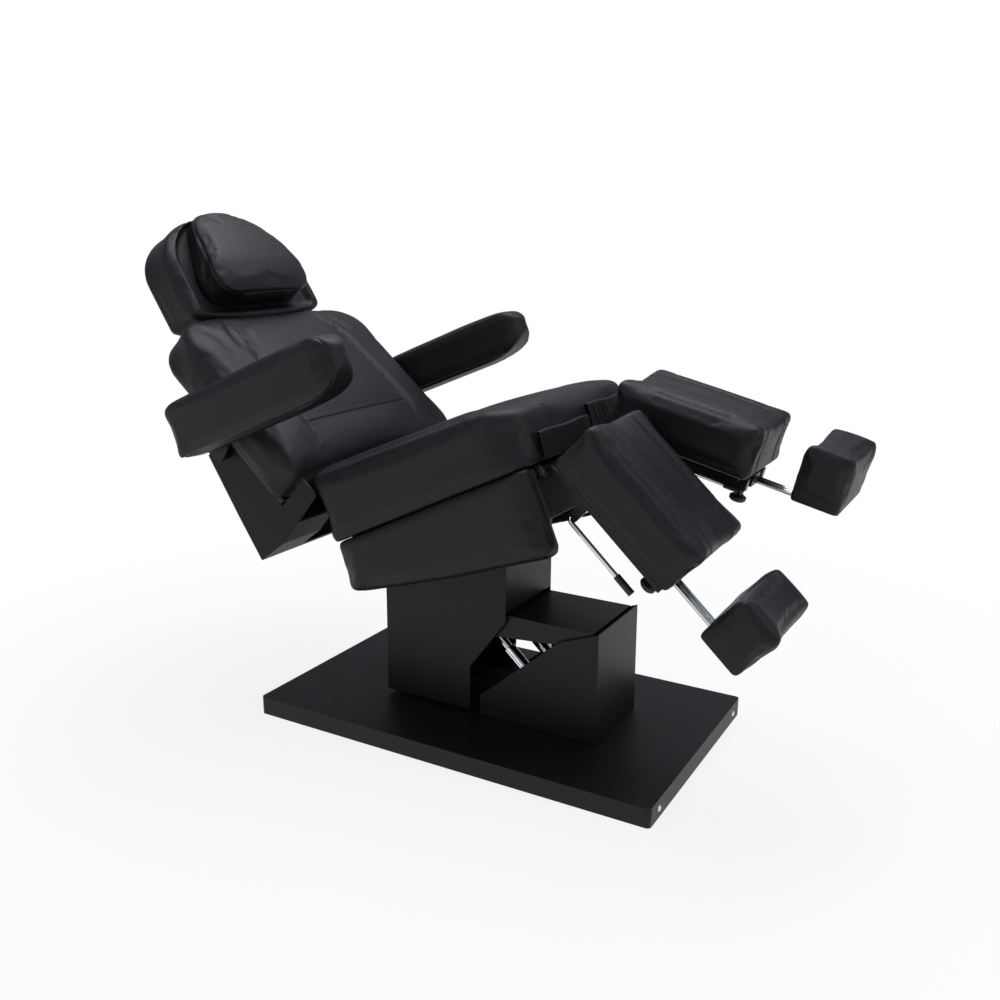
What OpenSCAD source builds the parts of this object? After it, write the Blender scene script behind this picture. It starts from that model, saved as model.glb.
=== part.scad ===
// Podiatry chair: an upholstered treatment chair on a lifting column, with a tilting seat,
// a reclining back, flip-up arms, a sliding headrest and two separate leg rests.
// +X points to the feet, +Y to the sitter's left, +Z up. The origin is the middle of the
// floor plate, on the floor. The chair is drawn at its lowest, tilted back, left leg raised.

/* [Base] */
// Length of the base, from head end to foot end
base_l = 1000; // [900:10:1100]
// Width of the base
base_w = 584; // [520:4:660]
// Height of the top of the base cover
base_h = 44; // [42:1:60]
// Skin of the base cover
cover_skin = 6; // [4:1:8]
// Radius of the cover's upright corners
cover_corner_r = 10; // [6:1:20]
// Thickness of the steel floor plate
floor_plate_t = 5; // [4:1:8]
// Gap between the cover's lower edge and the floor
cover_floor_gap = 1; // [0.5:0.5:2]
// Width of the base frame's tubes
frame_tube_w = 30; // [24:2:40]
// Wall of the square tubes
tube_wall = 2.5; // [2:0.5:4]
// Distance of the cover screws from the cover's side
screw_inset = 50; // [35:5:80]

/* [Lift] */
// Length of each parallel link, pivot to pivot
link_l = 360; // [330:5:390]
// Distance of the upper link's front pivot ahead of the base's middle
upper_pivot_x = 265; // [250:5:275]
// Height of the upper link's pivots
upper_pivot_z = 280; // [270:2:284]
// Distance of the lower link's front pivot behind the upper one
pivot_step_x = 25; // [15:5:35]
// Height of the lower link's pivots
lower_pivot_z = 110; // [105:1:120]
// Distance of the lift drive's foot behind the upper link's front pivot
drive_foot_back = 65; // [55:5:75]
// Height of the lift drive's foot
drive_foot_z = 66; // [64:1:72]
// Distance of the lift drive's top bar behind the upper link's front pivot
drive_top_back = 265; // [240:5:280]
// Drop of the lift drive's top bar below the upper link's pivots
drive_top_drop = 30; // [20:2:34]
// Radius of the lift drive's chrome tubes
drive_tube_r = 15; // [13:0.5:16]
// Radius of the lift drive's rods
drive_rod_r = 10; // [8:0.5:11]

/* [Column covers] */
// Half width of the front housing
housing_half_w = 110; // [108:1:130]
// Length of the front housing
housing_l = 295; // [280:5:310]
// Height of the front housing's front wall above the floor
housing_h = 303; // [302:1:320]
// Half width of the rear cover
column_half_w = 112; // [110:1:130]
// Distance of the rear cover's back wall behind the base's middle
column_rear = 253; // [245:1:265]
// Distance of the rear cover's front wall ahead of the base's middle
column_front = 72; // [60:2:80]
// Sheet of the housing and the rear cover
sheet_t = 4; // [3:0.5:5]

/* [Seat] */
// Tilt of the seat at rest, front up
seat_tilt = 21.5; // [0:0.5:25]
// Height of the seat's tilt pivot
seat_pivot_z = 480; // [470:2:500]
// Distance of the seat's tilt pivot behind the base's middle
seat_pivot_back = 70; // [60:2:80]
// Half width of the seat
seat_half_w = 285; // [270:1:300]
// Length of the seat cushion
seat_l = 537; // [510:1:550]
// Thickness of the seat cushion at its rear edge
seat_thick_rear = 168; // [150:1:180]
// Thickness of the seat cushion at its front edge
seat_thick_front = 138; // [115:1:140]
// Thickness of the padded side panels
side_panel_t = 50; // [40:1:60]
// Depth of the side panels below the cushion's rear edge
side_panel_h = 150; // [120:5:180]
// Thickness of the boards under the cushions
board_t = 12; // [9:1:16]

/* [Back] */
// Angle between the seat and the back at rest
back_angle = 117.5; // [115:0.5:130]
// Length of the back cushion
back_l = 441; // [420:1:480]
// Half width of the back cushion
back_half_w = 318; // [290:1:330]
// Thickness of the back cushion
back_thick = 115; // [100:1:125]
// Half width of the box behind the back
box_half_w = 300; // [290:1:306]
// Depth of the box at its lower rear edge, behind the hinge
box_deep = 205; // [190:1:230]

/* [Headrest] */
// Length of the headrest base
head_l = 312; // [300:2:330]
// Half width of the headrest base
head_half_w = 224; // [200:2:240]
// Thickness of the headrest base
head_thick = 104; // [90:2:114]
// Forward lean of the headrest against the back
head_lean = 16.6; // [0:0.2:25]
// Length of the head pillow
pillow_l = 240; // [220:5:250]
// Half width of the head pillow at its lower edge
pillow_half_w = 155; // [130:1:160]

/* [Arms] */
// Length of each arm pad
arm_l = 494; // [460:2:540]
// Width of each arm pad
arm_w = 85; // [70:1:95]
// Height of each arm pad
arm_h = 125; // [100:1:140]
// Angle of the arms above level at rest
arm_rise = 22.5; // [10:0.5:30]

/* [Legs] */
// Angle of the right leg below the seat at rest
leg_angle_right = 64.5; // [12:0.5:74]
// Angle of the left leg below the seat at rest
leg_angle_left = 35.5; // [12:0.5:74]
// Length of each leg cushion
leg_l = 320; // [300:2:330]
// Width of each leg cushion
leg_w = 248; // [220:2:250]
// Thickness of each leg cushion
leg_thick = 117; // [90:1:120]
// Distance of each leg's middle from the chair's centre line
leg_mid_y = 146; // [144:1:150]
// Length of each foot pad along the leg
foot_l = 98; // [90:1:110]
// Width of each foot pad
foot_w = 220; // [140:2:230]
// Height of each foot pad
foot_h = 120; // [100:2:130]
// Radius of the foot bars
foot_bar_r = 6; // [5:0.5:7]

/* [Hidden] */

// Facets of the round features, and of the corners that hulls round
round_fn = 48;
hull_fn = 32;
// Radial clearance of a pin in its bore, gap between soft pieces, and overrun of a cut
run_fit = 0.05;
soft_gap = 0.3;
cut = 1;

// Colours
vinyl_colour = [0.07, 0.07, 0.08];
paint_colour = [0.09, 0.09, 0.10];
steel_colour = [0.35, 0.36, 0.38];
chrome_colour = [0.80, 0.81, 0.83];
plastic_colour = [0.05, 0.05, 0.05];
board_colour = [0.10, 0.09, 0.08];

// Layers across the column, from the middle outwards
cheek_in = 86;
cheek_t = 8;
cheek_out = cheek_in + cheek_t;
flange_in = 98;
flange_out = flange_in + sheet_t;
link_boss_half = 82;
pin_r = 8;
pin_over = 3;

// Base
plate_gap = 0.7;
plate_half_l = base_l / 2 - cover_skin - plate_gap;
plate_half_w = base_w / 2 - cover_skin - plate_gap;
frame_top = base_h - cover_skin;
frame_cross_share = [-0.9, -0.3, 0.9];
frame_cross_gap = [5, 15];
screw_head_r = 7;
screw_head_t = 3;
screw_shank_r = 2.5;
screw_shank_l = 14;
screw_dome_r = (screw_head_r * screw_head_r + screw_head_t * screw_head_t) / (2 * screw_head_t);
box_l = 150;
box_w = 120;
box_h = 28;
box_gap = 25;
inlet_flange = [2.5, 50, 30];
inlet_body = [22, 30, 21];
inlet_mouth = [17, 24.4, 16.4];
inlet_pin = [11, 2, 4];
inlet_pin_pitch = 7;
inlet_pin_step = 2;
inlet_z = base_h / 2;

// Lift: the four pivots, the drive's foot and its top bar
upper_front = [upper_pivot_x, upper_pivot_z];
upper_rear = [upper_pivot_x - link_l, upper_pivot_z];
lower_front = [upper_pivot_x - pivot_step_x, lower_pivot_z];
lower_rear = [upper_pivot_x - pivot_step_x - link_l, lower_pivot_z];
drive_foot = [upper_pivot_x - drive_foot_back, drive_foot_z];
drive_top = [upper_pivot_x - drive_top_back, upper_pivot_z - drive_top_drop];
drive_len = norm(drive_top - drive_foot);
drive_angle = atan2(drive_top[1] - drive_foot[1], drive_top[0] - drive_foot[0]);
drive_y = 56;
drive_eye_r = 16;
drive_pin_r = 5;
drive_motor_r = 18;
drive_tube_share = 0.74;
drive_rod_start = 34;
drive_play = 6.2;
top_bar_r = 6;
top_eye_wall = 6;
top_eye_r = top_bar_r + drive_play + top_eye_wall;
top_eye_half = 9;
bracket_foot_t = 8;
bracket_rear = 140;
bracket_front = 290;
bracket_waist = 215;
bracket_top_r = 14;
bracket_window_gap = 6;
frame_cross = [
    frame_cross_share[0] * base_l / 2,
    frame_cross_share[1] * base_l / 2,
    bracket_rear - frame_tube_w / 2 - frame_cross_gap[0],
    bracket_front + frame_tube_w / 2 + frame_cross_gap[1],
    frame_cross_share[2] * base_l / 2
];
link_boss_r = 15;
beam_half_w = 25;
beam_half_h = 18;
lid_half_w = flange_out;
lid_rise = 20;
lid_front = 18;
lid_rear = 65;
lid_depth = 38;

// Column covers
housing_rear = 5;
housing_front = housing_rear + housing_l;
housing_lean = 2;
housing_low = 94;
housing_wall_top = 84;
housing_knee = [204, 267];
column_low = 52;
column_step = [-20, 160];
column_chin = 285;
column_housing_gap = 3;
column_front_low = housing_h + column_housing_gap;
column_top_rear = 400;
column_top_mid = [-150, 440];
column_top_front = 500;
column_notch_half = 75;
column_notch_low = 355;

// Carriage
seat_pivot = [-seat_pivot_back, seat_pivot_z];
seat_pin_r = 10;
tilt_foot = [-160, 200];
tilt_foot_pin_r = 6;
carriage_boss_r = 20;
carriage_top_r = 22;
carriage_low_tube = [-175, 140];
carriage_high_tube = [-100, 340];
carriage_tube_r = 12;
carriage_spacer_low = [-150, 150];
carriage_spacer_high = [-120, 400];
carriage_spacer_r = 10;

// Seat, in the seat's own frame: u forward, w up, from the tilt pivot
seat_rear_u = -180;
seat_rear_w = 57;
seam_rise = 39;
seam_slope = asin(seam_rise / seat_l);
seat_corner_r = 75;
seat_corner_rear_r = 16;
rail_in = 74;
rail_w = 30;
rail_h = 30;
rail_start = 15;
rail_short = 67;
rail_end = seat_l - rail_short;
seat_ear_gap = 2;
seat_ear_in = cheek_out + seat_ear_gap;
seat_ear_t = 8;
seat_ear_r = 22;
seat_cross_rear = 75;
seat_cross_front = rail_end - rail_w;
leg_hinge_back = 22;
leg_hinge_drop = 18;
leg_hinge = [seat_rear_u + seat_l - leg_hinge_back, seat_rear_w + seam_rise - leg_hinge_drop];
leg_shaft_r = 10;
leg_ear_in = 44;
leg_ear_t = 8;
leg_ear_out_t = 5.5;
leg_ear_r = 14;
panel_in = seat_half_w - side_panel_t;
panel_corner_r = 22;
panel_roll = 18;
panel_back = 26;
panel_front = seat_rear_u + seat_l - panel_back;
panel_rear_low = [-196, -66];
panel_mid = 54;
apron_back = 51;
apron_u = seat_rear_u + seat_l - apron_back;
apron_t = 8;
apron_low = -22;
apron_notch_low = 44;
apron_notch_gap = 3;
flap_t = 3;
flap_roll_r = 4.5;
flap_top_right = 149;
flap_top_left = 172;
flap_centre_gap = 6;
flap_stand = 1.6;
flap_sink = 1;

// Seat drive ends: tilt drive at the rear, recline drive under the pivot
tilt_top = [-130, 15];
tilt_y = 38;
tilt_eye_r = 14;
tilt_eye_half = 14;
tilt_tube_r = 15;
tilt_tube_l = 185;
tilt_rod_r = 7;
tilt_rod_start = 100;
tilt_pin_r = 5;
tilt_play = 2.2;
tilt_lug_t = 6;
motor_r = 18;
motor_l = 105;
motor_start = 22;
recline_foot = [-60, -50];
recline_y = -38;
recline_tube_l = 192;
recline_rod_start = 140;
recline_pin_r = 6;
recline_play = 6.2;
recline_lug_gap = 2;
lug_root_u = -90;

// Back, in the back's own frame: v up the back, b behind it, from the hinge
back_hinge = [-213.5, 151];
back_hinge_r = 8;
back_ear_r = 16;
seat_back_ear_in = 124;
seat_back_ear_t = 8;
back_ear_gap = 2;
back_ear_in = seat_back_ear_in + seat_back_ear_t + back_ear_gap;
back_low = 57;
back_rear = 40;
back_shoulder_r = 100;
back_foot_r = 28;
back_rail_in = 135;
back_rail_top = 266;
back_board_end = 496;
recline_top = [10, 130];
box_t = 8;
box_top = 275;
box_top_deep = 128;
box_mid = [130, 172];
box_low = 12;
box_nose = [-5, 123];
box_nose_top = [3, -38];
box_slot_half = back_rail_in + rail_w + back_ear_gap;

// Headrest
guide_y = 60;
guide_w = 24;
guide_low = 300;
guide_high = 500;
bar_r = 7;
bar_start = 330;
head_pivot_v = 640;
head_pivot_r = 6;
bar_eye_r = 11;
bar_eye_half = 8;
head_origin = [566, -67];
head_plate_t = 4;
head_plate = [40, 165];
head_plate_half_w = 90;
head_start = -50;
head_bow = 30;
head_straight = 150;
head_edge = 22;
head_min_share = 0.12;
head_ear_in = 70;
head_ear_t = 6;
head_recess = 22;
head_rim = 20;
head_recess_share = [0.89, 0.95];
pillow_straight = 70;
pillow_rise = 57;
pillow_fall = 52;
pillow_taper = 62;

// Arms
arm_pivot = [259, 20];
arm_pivot_r = 8;
arm_plate_in = 330;
arm_plate_t = 8;
arm_in = arm_plate_in + arm_plate_t;
arm_tail = 62;
arm_low = -30;
arm_nose_r = 40;
arm_chin_r = 45;
arm_chin_rise = 56;
bracket_plate_in = 320;
bracket_plate_t = 6;
bracket_boss_r = 12;
bracket_bosses = [[236, 78], [262, 88]];

// Legs, in each leg's own frame: a along the leg, n off its top, from the hinge
leg_start = 12;
leg_seat_n = 51;
leg_board_t = 10;
leg_boss_r = 13;
leg_boss_in = 56;
leg_boss_out = 224;
leg_rail_w = 20;
leg_rail_n = 14;
leg_rail_step = 58;
leg_rail_end = 330;
leg_channel = 16;
bar_n = 28;
bar_pitch = 16;
block_start = 244;
block_half_w = 24;
bar_inner = 190;
foot_start = 439;
foot_n = 46;
foot_mid_y = 148;
foot_saddle = 14;
foot_corner_r = 12;
foot_plate_t = 5;
knob_a = 305;
knob_r = 18.5;
knob_h = 15;
knob_n = -32;
stud_r = 4;
lever_r = 5;
lever_a = 107;
lever_n = -30;
lever_in = 60;
lever_out = 215;
lever_end = 299;
grip_r = 7.5;
grip_l = 46;
lever_lug_r = 11;
lever_lug_t = 8;

// Sewn pads: the roll of their edges, drawn-in sides, crowns, seams and falls towards their ends
pad_waist = 3;
seam_depth = 5;
seam_w = 12;
seat_edge_r = 26;
seat_dip = 8;
seat_crown = 8;
seat_fall = 22;
seat_fall_l = 110;
back_edge_r = 26;
back_crest = 22;
back_dip = 8;
back_crown = 12;
back_fall = 14;
back_fall_top_l = 90;
back_fall_low_l = 60;
head_crown = 4;
recess_low_l = 14;
recess_top_l = 12;
recess_top_gap = 6;
pillow_corner_low_r = 20;
pillow_corner_top_r = 60;
pillow_side_fall = 10;
pillow_edge_r = 22;
arm_corner_r = 8;
arm_edge_r = 10;
arm_waist = 1.5;
arm_crown = 3;
arm_fall = 30;
arm_fall_l = 50;
leg_corner_low_r = 12;
leg_corner_top_r = 14;
leg_edge_r = 12;
leg_waist = 4;
leg_crown = 4;
leg_seam_depth = 3;
leg_seam_w = 9;
foot_edge_r = 10;
foot_waist = 2;
foot_crown = 2;

// Extrudes an outline drawn in x and z across the chair, from y_low to y_high
module across(y_low, y_high) {
    translate([0, y_high, 0]) rotate([90, 0, 0]) linear_extrude(y_high - y_low) children();
}

// A round bar across the chair at a point of the x-z plane
module bar_across(point, r, y_low, y_high) {
    across(y_low, y_high) translate(point) circle(r, $fn = round_fn);
}

// The same shape on both sides of the centre line
module both_sides() {
    children();
    mirror([0, 1, 0]) children();
}

module side(sign) {
    if (sign > 0) children();
    else mirror([0, 1, 0]) children();
}

// A flat slab with round upright corners, standing on z = 0
module slab(l, w, h, r) {
    linear_extrude(h) {
        square([l - 2 * r, w], center = true);
        square([l, w - 2 * r], center = true);
        for (x = [-1, 1], y = [-1, 1])
            translate([x * (l / 2 - r), y * (w / 2 - r)]) circle(r, $fn = round_fn);
    }
}

// A square tube along x, open at both ends
module tube_x(l, w, h) {
    difference() {
        cube([l, w, h]);
        translate([-cut, tube_wall, tube_wall]) cube([l + 2 * cut, w - 2 * tube_wall, h - 2 * tube_wall]);
    }
}

// A square tube along y, open at both ends
module tube_y(l, w, h) {
    translate([w, 0, 0]) rotate([0, 0, 90]) tube_x(l, w, h);
}

// Frames of the moving parts
module in_seat() {
    translate([seat_pivot[0], 0, seat_pivot[1]]) rotate([0, -seat_tilt, 0]) children();
}
module on_seam() {
    in_seat() translate([seat_rear_u, 0, seat_rear_w]) rotate([0, -seam_slope, 0]) children();
}
module in_back() {
    in_seat() translate([back_hinge[0], 0, back_hinge[1]]) rotate([0, -back_angle, 0]) children();
}
module in_head() {
    in_back() translate([head_origin[0], 0, head_origin[1]]) rotate([0, head_lean, 0]) children();
}
module in_arm() {
    in_back() translate([arm_pivot[0], 0, arm_pivot[1]])
        rotate([0, seat_tilt + back_angle - arm_rise, 0]) children();
}
module in_leg(drop) {
    in_seat() translate([leg_hinge[0], 0, leg_hinge[1]]) rotate([0, drop, 0]) children();
}

// Positions of the rows of a pad, closer together towards both ends
function rows(l, n) = [for (i = [0 : n]) l / 2 * (1 - cos(180 * i / n))];

// Half width of a rounded outline at x, with its own corner radius at each end
function rounded_half(x, l, half, r_start, r_end) =
    x < r_start ? half - r_start + sqrt(max(0, r_start * r_start - (r_start - x) * (r_start - x)))
    : x > l - r_end ? half - r_end + sqrt(max(0, r_end * r_end - (x - l + r_end) * (x - l + r_end)))
    : half;

// Height of a crown over a pad, zero at the edges and one in the middle
function crown(x, y, l, half) = (1 - pow(abs(2 * x / l - 1), 3)) * (1 - pow(min(1, abs(y) / half), 3));

// A sewn groove: one on its line, fading to nothing at the given width
function groove(d, w) = max(0, 1 - abs(d) / w);

// A stuffed pad on a flat back at z = 0. Its outline is half(x) to each side of y = 0, its
// face top(x, y) high, its underside low(x). The sides are drawn in between the edges.
module pad(l, row_count, column_shares, half, top, low, edge_r, waist) {
    x_row = rows(l, row_count);
    columns = len(column_shares);
    mid = l / 2;
    // inset and height share of each ring up the side
    ring = [[waist, 0], [0, 0.10], [waist, 0.5], [0, 0.86], [edge_r * 0.3, 0.955], [edge_r, 1]];
    order = concat(
        [for (j = [0 : columns - 1]) [0, j]],
        [for (i = [1 : row_count]) [i, columns - 1]],
        [for (j = [columns - 2 : -1 : 0]) [row_count, j]],
        [for (i = [row_count - 1 : -1 : 1]) [i, 0]]
    );
    count = len(order);
    function inset_x(x, d) = mid + (x - mid) * (1 - d / mid);
    function place(i, j, d) =
        let (x = x_row[i], h = half(x)) [inset_x(x, d), column_shares[j] * max(h * 0.2, h - d)];
    function height(p, share) =
        let (z0 = low(p[0]), z1 = top(p[0], p[1])) z0 + (z1 - z0) * share;
    side_points = [for (r = ring) for (o = order)
        let (p = place(o[0], o[1], r[0])) [p[0], p[1], height(p, r[1])]];
    top_points = [for (i = [1 : row_count - 1]) for (j = [1 : columns - 2])
        let (p = place(i, j, edge_r)) [p[0], p[1], height(p, 1)]];
    base_index = len(side_points) + len(top_points);
    points = concat(side_points, top_points, [[mid, 0, low(mid)]]);
    // index of the ring point on the border of the face, or of an inner point
    last = (len(ring) - 1) * count;
    function rim(i, j) =
        i == 0 ? j
        : j == columns - 1 ? columns - 1 + i
        : i == row_count ? columns - 1 + row_count + (columns - 1 - j)
        : count - i;
    function at(i, j) =
        (i == 0 || j == 0 || i == row_count || j == columns - 1) ? last + rim(i, j)
        : len(side_points) + (i - 1) * (columns - 2) + j - 1;
    side_faces = [for (k = [0 : len(ring) - 2]) for (m = [0 : count - 1])
        let (a = k * count + m, b = k * count + (m + 1) % count, c = b + count, d = a + count)
        each [[a, d, c], [a, c, b]]];
    top_faces = [for (i = [0 : row_count - 1]) for (j = [0 : columns - 2])
        let (a = at(i, j), b = at(i, j + 1), c = at(i + 1, j + 1), d = at(i + 1, j))
        each [[a, d, c], [a, c, b]]];
    base_faces = [for (m = [0 : count - 1]) [m, (m + 1) % count, base_index]];
    polyhedron(points, concat(side_faces, top_faces, base_faces), convexity = 6);
}

// Evenly spaced columns from one edge to the other
function even_shares(n) = [for (j = [0 : n]) -1 + 2 * j / n];

// Column places with three close columns at each groove share
function grooved_shares(n, grooves, spread) = let (
    plain = even_shares(n),
    extra = [for (g = grooves) for (s = [-1, 1]) for (k = [-1, 0, 1]) s * g + k * spread]
) sorted(concat([for (p = plain)
    if (min([for (g = grooves) min(abs(p - g), abs(p + g))]) > spread * 1.6) p], extra));

function sorted(v) = len(v) <= 1 ? v : let (
    pivot = v[floor(len(v) / 2)]
) concat(sorted([for (x = v) if (x < pivot) x]), [pivot], sorted([for (x = v) if (x > pivot) x]));

module floor_plate() {
    color(steel_colour) slab(2 * plate_half_l, 2 * plate_half_w, floor_plate_t, cover_corner_r);
}

module base_frame() {
    rail_h = frame_top - floor_plate_t;
    rail_l = 2 * plate_half_l - 2 * cover_corner_r;
    inner_half = plate_half_w - frame_tube_w;
    color(steel_colour) translate([0, 0, floor_plate_t]) {
        for (s = [-1, 1])
            translate([-rail_l / 2, s * (plate_half_w - frame_tube_w / 2) - frame_tube_w / 2, 0])
                tube_x(rail_l, frame_tube_w, rail_h);
        for (x = frame_cross)
            translate([x - frame_tube_w / 2, -inner_half, 0])
                tube_y(2 * inner_half, frame_tube_w, rail_h);
    }
}

module base_cover() {
    color(vinyl_colour) difference() {
        translate([0, 0, cover_floor_gap]) slab(base_l, base_w, base_h - cover_floor_gap, cover_corner_r);
        translate([0, 0, -cut]) slab(base_l - 2 * cover_skin, base_w - 2 * cover_skin,
            frame_top + cut, cover_corner_r - cover_skin / 2);
        translate([bracket_rear - bracket_window_gap, -cheek_out - bracket_window_gap, 0])
            cube([bracket_front - bracket_rear + 2 * bracket_window_gap,
                2 * (cheek_out + bracket_window_gap), base_h + cut]);
        translate([-base_l / 2 - cut, -inlet_body[1] / 2, inlet_z - inlet_body[2] / 2])
            cube([cover_skin + 2 * cut, inlet_body[1], inlet_body[2]]);
        for (x = [-1, 1], y = [-1, 1])
            translate([x * base_l / 2, y * (base_w / 2 - screw_inset), inlet_z])
                rotate([0, 90, 0]) cylinder(r = screw_shank_r + run_fit, h = 4 * cover_skin,
                    center = true, $fn = round_fn);
    }
}

// One dome-head screw along x, its seat at the origin and its shank towards +x
module cover_screw() {
    rotate([0, 90, 0]) {
        rotate([180, 0, 0]) rotate_extrude($fn = round_fn) intersection() {
            translate([0, screw_head_t - screw_dome_r]) circle(screw_dome_r, $fn = round_fn);
            square([screw_head_r, screw_head_t]);
        }
        cylinder(r = screw_shank_r, h = screw_shank_l, $fn = round_fn);
    }
}

module base_cover_screws() {
    color(chrome_colour) for (y = [-1, 1]) {
        translate([-base_l / 2, y * (base_w / 2 - screw_inset), inlet_z]) cover_screw();
        translate([base_l / 2, y * (base_w / 2 - screw_inset), inlet_z]) mirror([1, 0, 0]) cover_screw();
    }
}

module control_box() {
    box_x = frame_cross[0] + frame_tube_w / 2 + box_gap;
    color(plastic_colour) translate([box_x, -box_w / 2, floor_plate_t]) cube([box_l, box_w, box_h]);
}

module mains_inlet() {
    color(plastic_colour) translate([-base_l / 2, 0, inlet_z]) difference() {
        union() {
            translate([-inlet_flange[0], -inlet_flange[1] / 2, -inlet_flange[2] / 2]) cube(inlet_flange);
            translate([0, -inlet_body[1] / 2 + soft_gap, -inlet_body[2] / 2 + soft_gap])
                cube([inlet_body[0], inlet_body[1] - 2 * soft_gap, inlet_body[2] - 2 * soft_gap]);
        }
        translate([-inlet_flange[0] - cut, -inlet_mouth[1] / 2, -inlet_mouth[2] / 2])
            cube([inlet_mouth[0] + cut, inlet_mouth[1], inlet_mouth[2]]);
    }
}

module mains_inlet_pins() {
    floor_x = -base_l / 2 - inlet_flange[0] + inlet_mouth[0];
    color(chrome_colour) for (k = [-1, 0, 1])
        translate([floor_x - inlet_pin[0], k * inlet_pin_pitch - inlet_pin[1] / 2,
            inlet_z - inlet_pin[2] / 2 + (k == 0 ? inlet_pin_step : -inlet_pin_step)]) cube(inlet_pin);
}

module lift_bracket() {
    color(paint_colour) difference() {
        union() {
            translate([bracket_rear, -cheek_out, floor_plate_t])
                cube([bracket_front - bracket_rear, 2 * cheek_out, bracket_foot_t]);
            both_sides() across(cheek_in, cheek_out) {
                polygon([[bracket_rear, floor_plate_t], [bracket_front, floor_plate_t],
                    [upper_front[0] + bracket_top_r, upper_front[1]],
                    [upper_front[0] - bracket_top_r, upper_front[1]],
                    [bracket_waist - bracket_top_r, lower_front[1] + bracket_top_r],
                    [drive_foot[0] - drive_eye_r, drive_foot[1] + drive_eye_r / 2]]);
                translate(upper_front) circle(bracket_top_r, $fn = round_fn);
            }
        }
        bar_across(upper_front, pin_r + run_fit, -flange_out, flange_out);
        bar_across(lower_front, pin_r + run_fit, -flange_out, flange_out);
        bar_across(drive_foot, drive_pin_r + run_fit, -flange_out, flange_out);
    }
}

module lift_pivot_pins() {
    color(chrome_colour) {
        bar_across(lower_front, pin_r, -cheek_out - pin_over, cheek_out + pin_over);
        both_sides() {
            bar_across(upper_front, pin_r, cheek_in - pin_over, flange_out + pin_over / 2);
            bar_across(drive_foot, drive_pin_r, drive_y - drive_eye_r / 2, cheek_out + pin_over);
        }
    }
}

module front_housing() {
    color(vinyl_colour) difference() {
        across(-housing_half_w, housing_half_w)
            polygon([[housing_rear, base_h], [housing_front, base_h],
                [housing_front - housing_lean, housing_h], housing_knee, [housing_rear, housing_low]]);
        across(-housing_half_w + sheet_t, housing_half_w - sheet_t)
            polygon([[housing_rear + sheet_t, base_h - cut], [housing_front - sheet_t, base_h - cut],
                [housing_front - sheet_t - housing_lean, housing_h + cut],
                [housing_rear - cut, housing_h + cut], [housing_rear - cut, housing_wall_top],
                [housing_rear + sheet_t, housing_wall_top]]);
    }
}

module lower_link() {
    beam_l = link_l - 2 * link_boss_r;
    color(paint_colour) difference() {
        union() {
            translate([lower_rear[0], -beam_half_w, lower_rear[1] - beam_half_h])
                cube([link_l, 2 * beam_half_w, 2 * beam_half_h]);
            bar_across(lower_front, link_boss_r, -link_boss_half, link_boss_half);
            bar_across(lower_rear, link_boss_r, -link_boss_half, link_boss_half);
            bar_across(lower_front, beam_half_h, -beam_half_w, beam_half_w);
            bar_across(lower_rear, beam_half_h, -beam_half_w, beam_half_w);
        }
        translate([lower_rear[0] + link_boss_r, -beam_half_w + tube_wall,
            lower_rear[1] - beam_half_h + tube_wall])
            cube([beam_l, 2 * (beam_half_w - tube_wall), 2 * (beam_half_h - tube_wall)]);
        bar_across(lower_front, pin_r + run_fit, -link_boss_half - cut, link_boss_half + cut);
        bar_across(lower_rear, pin_r + run_fit, -link_boss_half - cut, link_boss_half + cut);
    }
}

module upper_link() {
    top = upper_pivot_z + lid_rise;
    front = upper_front[0] + lid_front;
    color(paint_colour) difference() {
        union() {
            translate([upper_rear[0] + lid_rear, -lid_half_w, top - sheet_t])
                cube([front - upper_rear[0] - lid_rear, 2 * lid_half_w, sheet_t]);
            both_sides() across(flange_in, flange_out) {
                polygon([[upper_rear[0], upper_pivot_z + link_boss_r], [upper_rear[0] + lid_rear, top],
                    [front, top], [front, upper_pivot_z], [upper_front[0], top - lid_depth],
                    [drive_top[0] + link_boss_r, drive_top[1] - link_boss_r / 2],
                    [drive_top[0] - link_boss_r, drive_top[1] - link_boss_r / 2],
                    [upper_rear[0], upper_pivot_z - link_boss_r]]);
                translate(upper_front) circle(link_boss_r, $fn = round_fn);
                translate(upper_rear) circle(link_boss_r, $fn = round_fn);
                translate(drive_top) circle(link_boss_r, $fn = round_fn);
            }
            bar_across(drive_top, top_bar_r, -flange_out, flange_out);
        }
        bar_across(upper_front, pin_r + run_fit, -flange_out - cut, flange_out + cut);
        bar_across(upper_rear, pin_r + run_fit, -flange_out - cut, flange_out + cut);
    }
}

// Stands a drive at its foot, its rod along +x
module along_drive(foot, angle, y) {
    translate([foot[0], y, foot[1]]) rotate([0, -angle, 0]) children();
}

module lift_drive_tubes() {
    tube_l = drive_tube_share * drive_len;
    eye_half = drive_eye_r;
    color(chrome_colour) difference() {
        union() {
            for (s = [-1, 1]) along_drive(drive_foot, drive_angle, s * drive_y) {
                rotate([0, 90, 0]) cylinder(r = drive_tube_r, h = tube_l, $fn = round_fn);
                bar_across([0, 0], drive_eye_r, -eye_half, eye_half);
            }
            bar_across(drive_foot, drive_motor_r, -drive_y + eye_half, drive_y - eye_half);
        }
        for (s = [-1, 1]) along_drive(drive_foot, drive_angle, s * drive_y) {
            translate([drive_rod_start - pin_over, 0, 0]) rotate([0, 90, 0])
                cylinder(r = drive_rod_r + run_fit, h = tube_l, $fn = round_fn);
            side(s) bar_across([0, 0], drive_pin_r + run_fit, -drive_eye_r / 2 - cut, eye_half + cut);
        }
    }
}

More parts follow.
